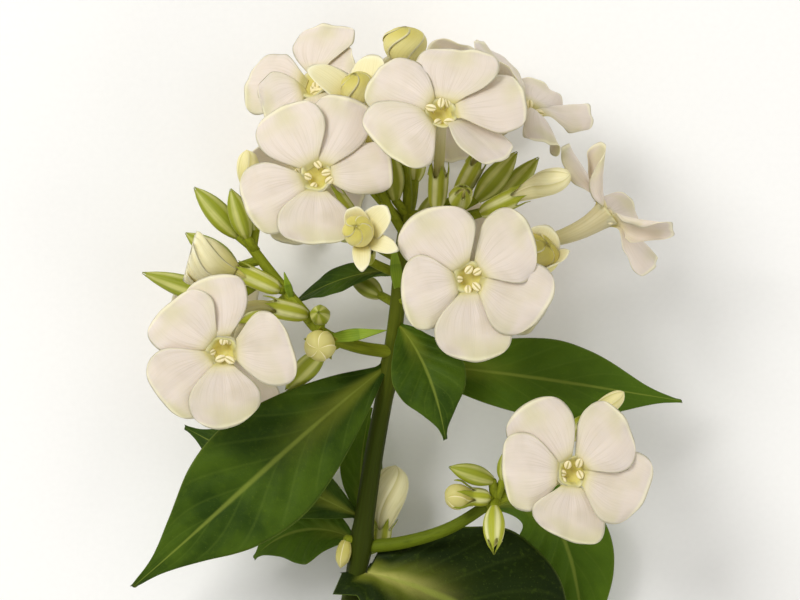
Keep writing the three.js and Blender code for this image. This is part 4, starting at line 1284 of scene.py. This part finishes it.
# %% Where the shoots and the shut buds are
BRANCHES = [  # points along each shoot, and its radius at its foot and at its end, in mm
    (
        [
            (-1.4, -10.5, 23), (-9, -9.2, 26.5), (-15.5, -6.5, 28.5), (-20, -1.5, 28), (-25, 4.5, 27),
            (-30, 11, 26.5),
        ],
        1.35, 1,
    ),
    ([(-7, -50, 15.5), (1, -48.8, 18.5), (10, -45.8, 21.5), (19, -40, 25)], 1.4, 1.1),
]
GREEN_BUDS = [
    [(-30, 11, 26.5), (-32.4, 12.8, 26.5), (-41, 22.4, 27)],
    [(-29, 10, 26.6), (-30.5, 12.5, 29), (-33.6, 22, 31)],
    [(-28, 8, 26.5), (-33, 6.5, 23), (-43, 13.4, 22)],
    [(-26, 5, 26.5), (-34, -0.5, 22), (-51.6, 5.4, 22)],
    [(-16, -6, 28.4), (-15.6, -3.4, 31), (-16, -2.4, 40)],
    [(-12, -8.4, 27.5), (-15.5, -10.5, 26.5), (-22.8, -18, 26)],
    [(1.4, 17, 27.4), (7, 15.4, 29.5), (11.4, 19, 36), (12.6, 21.8, 46)],
    [(1.4, 17, 27.4), (-1, 20, 29.5), (-2.6, 31, 31)],
    [(1.4, 17, 27.4), (9, 17, 28.5), (15.2, 20, 30), (23.2, 29.4, 30)],
    [(1.4, 17, 27.4), (10, 16.4, 26.5), (18.2, 18, 26.5), (27.6, 28.4, 26.5)],
    [(19, -40, 25), (18.8, -41.2, 29), (18.6, -50, 33.5)],
    [(19, -40, 25), (18.4, -36, 28.4), (9.8, -33.2, 30)],
    [(19, -40, 25), (20.5, -36, 28), (20.4, -30.6, 29.5)],
    [(-7.6, -49, 15.8), (-10.8, -48.2, 18), (-12.2, -55, 17.6)],
    [(0.5, 10, 25), (4, 14, 20), (8, 22, 14)],
    [(-0.4, -1, 23.6), (-4, 1, 18.5), (-10, 5, 12)],
]

print(len(GREEN_BUDS), "shut green buds")

# %% Stem and stalks
STALK_RADIUS, STALK_FOOT = 0.85, 1.2  # mm at its tip, and how much thicker it is at its foot
STEM_RADII = [(0, 2.4), (0.55, 2.1), (1, 1.3)]
LEAF_NODES = [47, 103, 138]  # mm along the stem from its cut end, where pairs of leaves sit
STEM_ROWS, STEM_SIDES, SHOOT_SIDES, STALK_SIDES = 150, 24, 18, 12
STEM_RIBS, STEM_RIB_HEIGHT = 8, 0.025  # faint ribs round the stem, and their height as a share of its radius
CUT_DEPTH = 0.25  # mm from the stem's end to its first ring, round which the cut face lies in a shallow dish


def faint_ribs(turn, row):
    return 1 + STEM_RIB_HEIGHT * math.cos(2 * STEM_RIBS * math.pi * turn), 0


def main_stem(bm):
    line = Line(STEM)
    profile = [(0, 0.35), (1.1, 0.3), (2.2, 0)]
    for k in range(STEM_ROWS + 1):
        distance = CUT_DEPTH + (line.length - CUT_DEPTH) * k / STEM_ROWS
        swollen = sum(0.45 * math.exp(-(((distance - node) / 3) ** 2)) for node in LEAF_NODES)
        profile.append((smoothly(STEM_RADII, k / STEM_ROWS) + swollen, distance))
    profile += [(0.9, line.length + 0.6), (0, line.length + 0.8)]
    turned(bm, line, profile, STEM_SIDES, form=faint_ribs)


def stem_and_stalks():
    bm = bmesh.new()
    main_stem(bm)
    for number, (course, start, end) in enumerate(BRANCHES):
        rod(bm, Line(course), start, end, SHOOT_SIDES, number=SHOOTS + number)
    stalks = [form["stalk"] for form in (*BLOOMS.values(), *BUDS.values())]
    stalks += [points[:-1] for points in GREEN_BUDS]
    for number, points in enumerate(stalks):
        rod(bm, Line(points), STALK_RADIUS * STALK_FOOT, STALK_RADIUS, STALK_SIDES, number=STALKS + number)
    return finished(bm, "stem_and_stalks", "stem", "stem", STEM_GREEN)


print("stem_and_stalks:", len(stem_and_stalks().data.polygons), "faces")

# %% The cut face
CUT_PROFILE = [(0, 0.2), (0.7, 0.12), (1.4, 0.05), (2.0, -0.05), (2.28, -0.04), (2.36, 0.3), (0, 0.8)]


def cut_face():
    bm = bmesh.new()
    turned(bm, Line(STEM), CUT_PROFILE, STEM_SIDES)
    return finished(bm, "stem_cut_face", "stem", "stem", CUT)


print("stem_cut_face:", len(cut_face().data.polygons), "faces")

# %% [markdown]
# ## Calyces, shut buds and bracts
#
# A calyx is an open cup with five ribs and five teeth. Its surface is turned like the tube, but every column
# of the grid climbs to its own height, which is greatest on a rib and falls to the sinus between two teeth.
# Its radius is that of a cup, or of the swelling bud inside where that is wider, so the teeth hug a bud. The
# inside is the same surface drawn in by a wall's thickness, so the cup is closed and can be seen into. A bud
# that is still shut is a calyx too, grown together nearly to its tip round a pale core. Two of them still
# show the pale skin and the long teeth of a calyx, and one is so far on that only its pale petals show. A
# bract is a narrow blade.

# %% A calyx
CALYX_RADIUS = 2  # mm
YOUNG_CALYX = 0.93  # how wide a short calyx is, as a share of a full-grown one
CALYX_WALL = 0.3
CALYX_OUTLINE = [(-0.05, 0.3), (0, 0.5), (0.18, 0.82), (0.42, 0.95), (0.7, 1), (1, 0.99), (1.45, 0.86)]
CUP_ROWS, TOOTH_ROWS, CALYX_SIDES = 10, 7, 40
SHORTEST_TOOTH = 2.6  # mm
RIB_HEIGHT, TOOTH_FLARE = 0.07, 0.07  # how much a rib and a tooth stand out, as shares of the radius


def calyx(bm, line, sinus, tooth, radius_at, number, floor=SOCKET_FLOOR, look=0):
    """radius_at gives the outer radius at a distance from the line's start."""
    outer = [(0, -0.3), (1, -0.05)] + [(1, sinus * k / CUP_ROWS) for k in range(1, CUP_ROWS + 1)]
    first = len(outer) - 1
    outer += [(1, sinus)] * TOOTH_ROWS
    top = len(outer) - 1
    profile = outer + list(reversed(outer[4:])) + [(1, floor), (0, floor)]

    def teeth(turn, row):
        fold = abs(((5 * turn) % 1) * 2 - 1)  # 0 half way between two ribs and 1 on a rib
        climbed = max(0, (row if row <= top else 2 * top + 1 - row) - first) / TOOTH_ROWS
        rise = tooth * max(0.0, (fold - 0.1) / 0.9) ** 1.4 * climbed
        own = 1 + draw(number * 5 + int(5 * turn + 0.5) % 5)
        flare = TOOTH_FLARE * math.sin(math.pi * climbed * 0.8) * own
        wall = CALYX_WALL * (1 - 0.6 * climbed) if row > top else 0
        return radius_at(profile[row][1] + rise) * (0.97 + RIB_HEIGHT * fold**3 + flare) - wall, rise

    turned(bm, line, profile, CALYX_SIDES, form=teeth, number=number, look=look)


print("a calyx has", CALYX_SIDES, "columns, 8 for each of its ribs")

# %% All the calyces
def cup_radius(sheath):
    radius = CALYX_RADIUS * (YOUNG_CALYX if sheath < CALYX_LENGTH else 1)
    return lambda distance: radius * smoothly(CALYX_OUTLINE, distance / sheath)


def hugging_radius(sheath, fat, line, opening):
    """A cup that gives way to the swelling bud in it."""
    cup, neck = cup_radius(sheath), neck_of(line, sheath, opening)

    def radius_at(distance):
        share = (distance - SOCKET_FLOOR - CLEARANCE - neck) / (line.length - neck)
        return max(cup(distance), swelling(share, fat) + 0.25 if share > 0 else 0)

    return cup if opening else radius_at


def calyces():
    bm = bmesh.new()
    whole = (CALYX_LENGTH, CALYX_LENGTH * TOOTH_SHARE, cup_radius(CALYX_LENGTH))
    carried = [(form["stalk"][-1], form["aim"], *whole) for form in BLOOMS.values()]
    for form in BUDS.values():
        root, aim, sheath, opening = form["stalk"][-1], form["aim"], form["sheath"], form.get("opening")
        line = bud_line(form["stalk"], aim, sheath, form["tip"])
        tooth = form.get("teeth", max(SHORTEST_TOOTH, sheath * TOOTH_SHARE))
        carried.append((root, aim, sheath, tooth, hugging_radius(sheath, form["fat"], line, opening)))
    for number, (root, aim, sheath, tooth, radius_at) in enumerate(carried):
        base = Vector(root)
        line = Line([base, base + Vector(aim).normalized() * sheath])
        calyx(bm, line, sheath, tooth, radius_at, number)
    return finished(bm, "calyces", "stem", "stem", CALYX)


print("calyces:", len(calyces().data.polygons), "faces")

# %% Shut buds
SHUT_OUTLINE = [
    (-0.05, 0.3), (0, 0.42), (0.15, 0.78), (0.35, 1), (0.6, 0.92), (0.8, 0.62), (0.93, 0.3), (1, 0.08),
]
FATTEST, SHUT_SHARE = 2.4, 0.22  # the largest radius of a shut bud in mm, and as a share of its length
STRIPED_BUDS, PALE_BUD = (6, 10), 13  # those that show skin and teeth, and the one that shows its petals
STRIPED_CUP, SHUT_CUP = (0.74, 0.3), (0.96, 0.05)  # sinus and teeth, as shares of a bud's length
CORE_END, SHUT_CORE_ROWS = 0.88, 12
GREEN_SKIN, PALE_PETALS, STRIPED_SKIN = 0, 1, 2  # which of the piece's finishes each of them wears


def shut_bud(bm, base, tip, number):
    line = Line([base, tip])
    length = line.length
    fat = min(FATTEST, length * SHUT_SHARE)

    def radius_at(distance):
        return fat * smoothly(SHUT_OUTLINE, distance / length)

    if number != PALE_BUD:
        striped = number in STRIPED_BUDS
        sinus, tooth = STRIPED_CUP if striped else SHUT_CUP
        look = STRIPED_SKIN if striped else GREEN_SKIN
        calyx(bm, line, sinus * length, tooth * length, radius_at, number, floor=0.2 * length, look=look)
    wall = 0 if number == PALE_BUD else CALYX_WALL
    profile = [(0, 0)]
    for k in range(1, SHUT_CORE_ROWS):
        distance = CORE_END * length * k / SHUT_CORE_ROWS
        profile.append(((radius_at(distance) - wall) * min(1, 4 * (1 - k / SHUT_CORE_ROWS)) ** 0.5, distance))
    turned(bm, line, [*profile, (0, CORE_END * length)], 20, look=PALE_PETALS, number=GREENER)


def shut_buds():
    bm = bmesh.new()
    for number, points in enumerate(GREEN_BUDS):
        shut_bud(bm, points[-2], points[-1], number)
    return finished(bm, "shut_buds", "stem", "stem", SHUT_BUD, BUD, CALYX)


print("shut_buds:", len(shut_buds().data.polygons), "faces")

# %% Bracts
BRACTS = [  # foot, tip and half width, in mm
    ((-14, -7.6, 28), (-2.6, -6, 32), 1.3),
    ((-21.6, 0.4, 28.2), (-23, 5.6, 31.5), 0.8),
    ((-0.4, 2, 25), (-1.4, 12, 36), 1.2),
]
BRACT_OUTLINE = [(0, 0.6), (0.4, 1), (0.8, 0.42), (1, 0.05)]
BRACT_BOW = 0.12  # how far it bows, as a share of its length
BRACT_KEEL = 0.25  # how far its edges rise, as a share of half its width
BRACT_HALF_THICKNESS = 0.22  # mm


def bract_thickness(u, v):
    half = BRACT_HALF_THICKNESS * (1 - abs(u) ** 6) * min(1, 20 * v * (1 - v))
    return half, half


def bract(bm, base, tip, half):
    start, end = Vector(base), Vector(tip)
    sideways = (end - start).cross(Vector((0, 0, 1))).normalized()
    bow = (end - start).length * BRACT_BOW
    lift = sideways.cross(end - start).normalized()

    def point(u, v):
        width = half * smoothly(BRACT_OUTLINE, v)
        bent = Vector((0, 0, bow * 4 * v * (1 - v)))
        return start.lerp(end, v) + sideways * (width * u) + bent + lift * (BRACT_KEEL * width * u * u)

    blade(bm, point, bract_thickness, 8, 24)


def bracts():
    bm = bmesh.new()
    for base, tip, half in BRACTS:
        bract(bm, base, tip, half)
    return finished(bm, "bracts", "stem", "stem", BRACT)


print("bracts:", len(bracts().data.polygons), "faces")

# %% [markdown]
# ## Leaves
#
# A leaf's midrib is one Bezier curve, and its blade is a pointed outline swept along it: keeled in the
# middle, waved at the edges, sunk along each side vein and puffed between them. Underneath, the midrib stands
# out as a round keel that thins towards the tip. Real side veins are no straight lines, so the sweep follows
# a curve.

# %% Where the leaves are
LEAVES = {
    "leaf_upper_left": (
        [(-3.9, -14.2, 24), (-20, -26.6, 33), (-37, -43.4, 29), (-54, -58, 17)], 12, (0.1, 0.1, 1),
    ),
    "leaf_upper_right": (
        [(0, -12.6, 22.1), (20, -14, 27), (40, -17.6, 26), (57, -20.4, 17)], 8.5, (0.1, 0.35, 1),
    ),
    "leaf_front": (
        [(0.1, -5.3, 25.4), (4.8, -11, 35.5), (7.6, -19, 38), (9, -27.6, 34)], 7.4, (0.1, 0.2, 1),
    ),
    "leaf_back": (
        [(-1.1, 6, 24), (-9, 6, 19), (-16, 3, 15), (-23, -1.4, 11)], 4, (0, 0.7, 0.7),
    ),
    "leaf_middle_right": (
        [(-6, -55.2, 16.9), (6, -58, 22), (25, -63, 27.5), (38, -92, 14)], 20.8, (0, 0.68, 1),
        (0.38, 0.36), 5,
    ),
    "leaf_side_shoot": (
        [(19.8, -41.4, 23.3), (35, -37.6, 3), (37.2, -58, 3.6), (38.4, -79, 3)], 9.6, (-0.3, 0.1, 1),
    ),
    "leaf_middle_left": (
        [(-9.6, -48.4, 14.7), (-17, -44.6, 12), (-25, -47, 10.5), (-30, -53, 5)], 7, (-0.1, 0.1, 1),
    ),
    "leaf_far_left": (
        [(-9.1, -43.3, 16.2), (-22, -37, 19), (-34, -31, 15), (-44, -26, 8)], 8.5, (-0.1, 0.1, 1),
    ),
    "leaf_behind": (
        [(-7.8, -44.6, 14.8), (-8.6, -38, 8.6), (-8, -30, 6.5), (-6, -22, 4)], 4.4, (0.2, 0, 1),
    ),
    "leaf_lower_left": (
        [(-20.8, -104, 6), (-40, -108, 16), (-64, -114, 12), (-88, -124, 0.7)], 14, (-0.1, 0.1, 1),
    ),
    "leaf_lower_right": (
        [(-15.1, -103.4, 6.2), (6, -110, 16), (29, -119, 12), (50, -132, 0.7)], 14, (0.1, 0.1, 1),
    ),
}
# which leaves are painted darker as shade, or lighter as light
PAINTED_LEAF_LIGHT = {
    "leaf_middle_right": SHADED_LEAF, "leaf_upper_right": LIT_LEAF, "leaf_side_shoot": LIT_LEAF, "leaf_middle_left": LIT_LEAF,
    "leaf_behind": LIT_LEAF,
}

print(len(LEAVES), "leaves")

# %% A leaf
LEAF_OUTLINE = [
    (0, 0.1), (0.12, 0.42), (0.3, 0.8), (0.47, 1), (0.63, 0.86), (0.78, 0.46), (0.9, 0.16), (1, 0.03),
]
LEAF_GRID = (36, 96)
FOOT_DEPTH = 1.2  # mm that a leaf's stalk reaches into the stem
THINNEST = 0.5  # half the width of that stalk, in mm
KEEL, CUPPING = 0.16, 0.1  # how far the sides rise and how far they turn down again, as shares of their width
WAVE_HEIGHT, RUFFLE_HEIGHT = 0.05, 0.02  # slow and quick waves of its edges, as shares of half its width
PUFF, GROOVE = 0.018, 0.22  # the swelling between veins, as a share of a side's width, and the groove in mm
SKIN_ABOVE, SKIN_BELOW = 0.16, 0.18  # mm
RIB_DEPTH, VEIN_DEPTH = 0.95, 0.12  # mm that the midrib and the side veins stand out below


def bezier(points, v):
    """The place and heading on a Bezier curve of four points, which may lie a little past its ends."""
    a, b, c, d = (Vector(p) for p in points)
    w = 1 - v
    place = a * w**3 + b * 3 * w * w * v + c * 3 * w * v * v + d * v**3
    return place, ((b - a) * w * w + (c - b) * 2 * w * v + (d - c) * v * v).normalized()


def vein_wave(u, v):
    """1 along a side vein and -1 half way to the next."""
    return math.cos(2 * math.pi * (v - VEIN_SWEEP * abs(u) ** VEIN_BEND) * SIDE_VEINS)


def leaf(name, number, midrib, half, up, feet=(0, 0), lobe=0):
    """midrib is its curve, half its largest half width, and up the way that its upper face looks. feet is how
    wide it is at its foot on either side, as a share of half, and lobe how far it reaches back there."""
    above = Vector(up).normalized()
    foot = -FOOT_DEPTH / (Vector(midrib[3]) - Vector(midrib[0])).length

    def half_width(u, v):
        shown = max(v, 0)
        lobed = feet[u > 0] * (1 - shown) ** 2 * min(1, 4 * abs(u)) if v > 0 else 0
        return max(THINNEST, half * max(smoothly(LEAF_OUTLINE, shown), lobed))

    def point(u, row):
        v = foot + (1 - foot) * row
        place, heading = bezier(midrib, v)
        sideways = heading.cross(above).normalized()
        lift = sideways.cross(heading)
        width = half_width(u, v)
        keeled = KEEL * width * math.sqrt(u * u + 0.0016) - CUPPING * width * u * u
        wave = WAVE_HEIGHT * half * math.sin(9 * v + 3 * draw(number) + u) * abs(u)
        ruffle = RUFFLE_HEIGHT * half * math.sin(31 * v + 5 * draw(number + 90) + 2 * u) * abs(u) ** 3
        puffed = -PUFF * width * vein_wave(u, v) * (4 * abs(u) * (1 - abs(u))) ** 0.7
        groove = -GROOVE * math.exp(-((width * u / 0.7) ** 2)) * (1 - v) ** 0.5 if v < 1 else 0
        back = lobe * max(0, u) * (1 - max(v, 0)) ** 6
        rise = keeled + wave + ruffle + puffed + groove
        return place + sideways * (width * u) + lift * rise - heading * back

    def thickness(u, row):
        v = max(0, foot + (1 - foot) * row)
        thin = 1 - max(abs(u), abs(2 * row - 1)) ** 14
        rib = RIB_DEPTH * (1 - v) * math.exp(-((half_width(u, v) * u / 0.75) ** 2))
        vein = VEIN_DEPTH * max(0, vein_wave(u, v)) ** 6 * (1 - abs(u))
        return SKIN_ABOVE * thin, (SKIN_BELOW + rib + vein) * thin

    bm = bmesh.new()
    blade(bm, point, thickness, *LEAF_GRID, number=PAINTED_LEAF_LIGHT.get(name, 0), looks=(0, 1))
    return finished(bm, name + "_blade", name, "leaf", LEAF_TOP, LEAF_UNDER)


for number, (name, form) in enumerate(LEAVES.items()):
    made = leaf(name, number, *form)
    print(made.name, len(made.data.polygons), "faces")
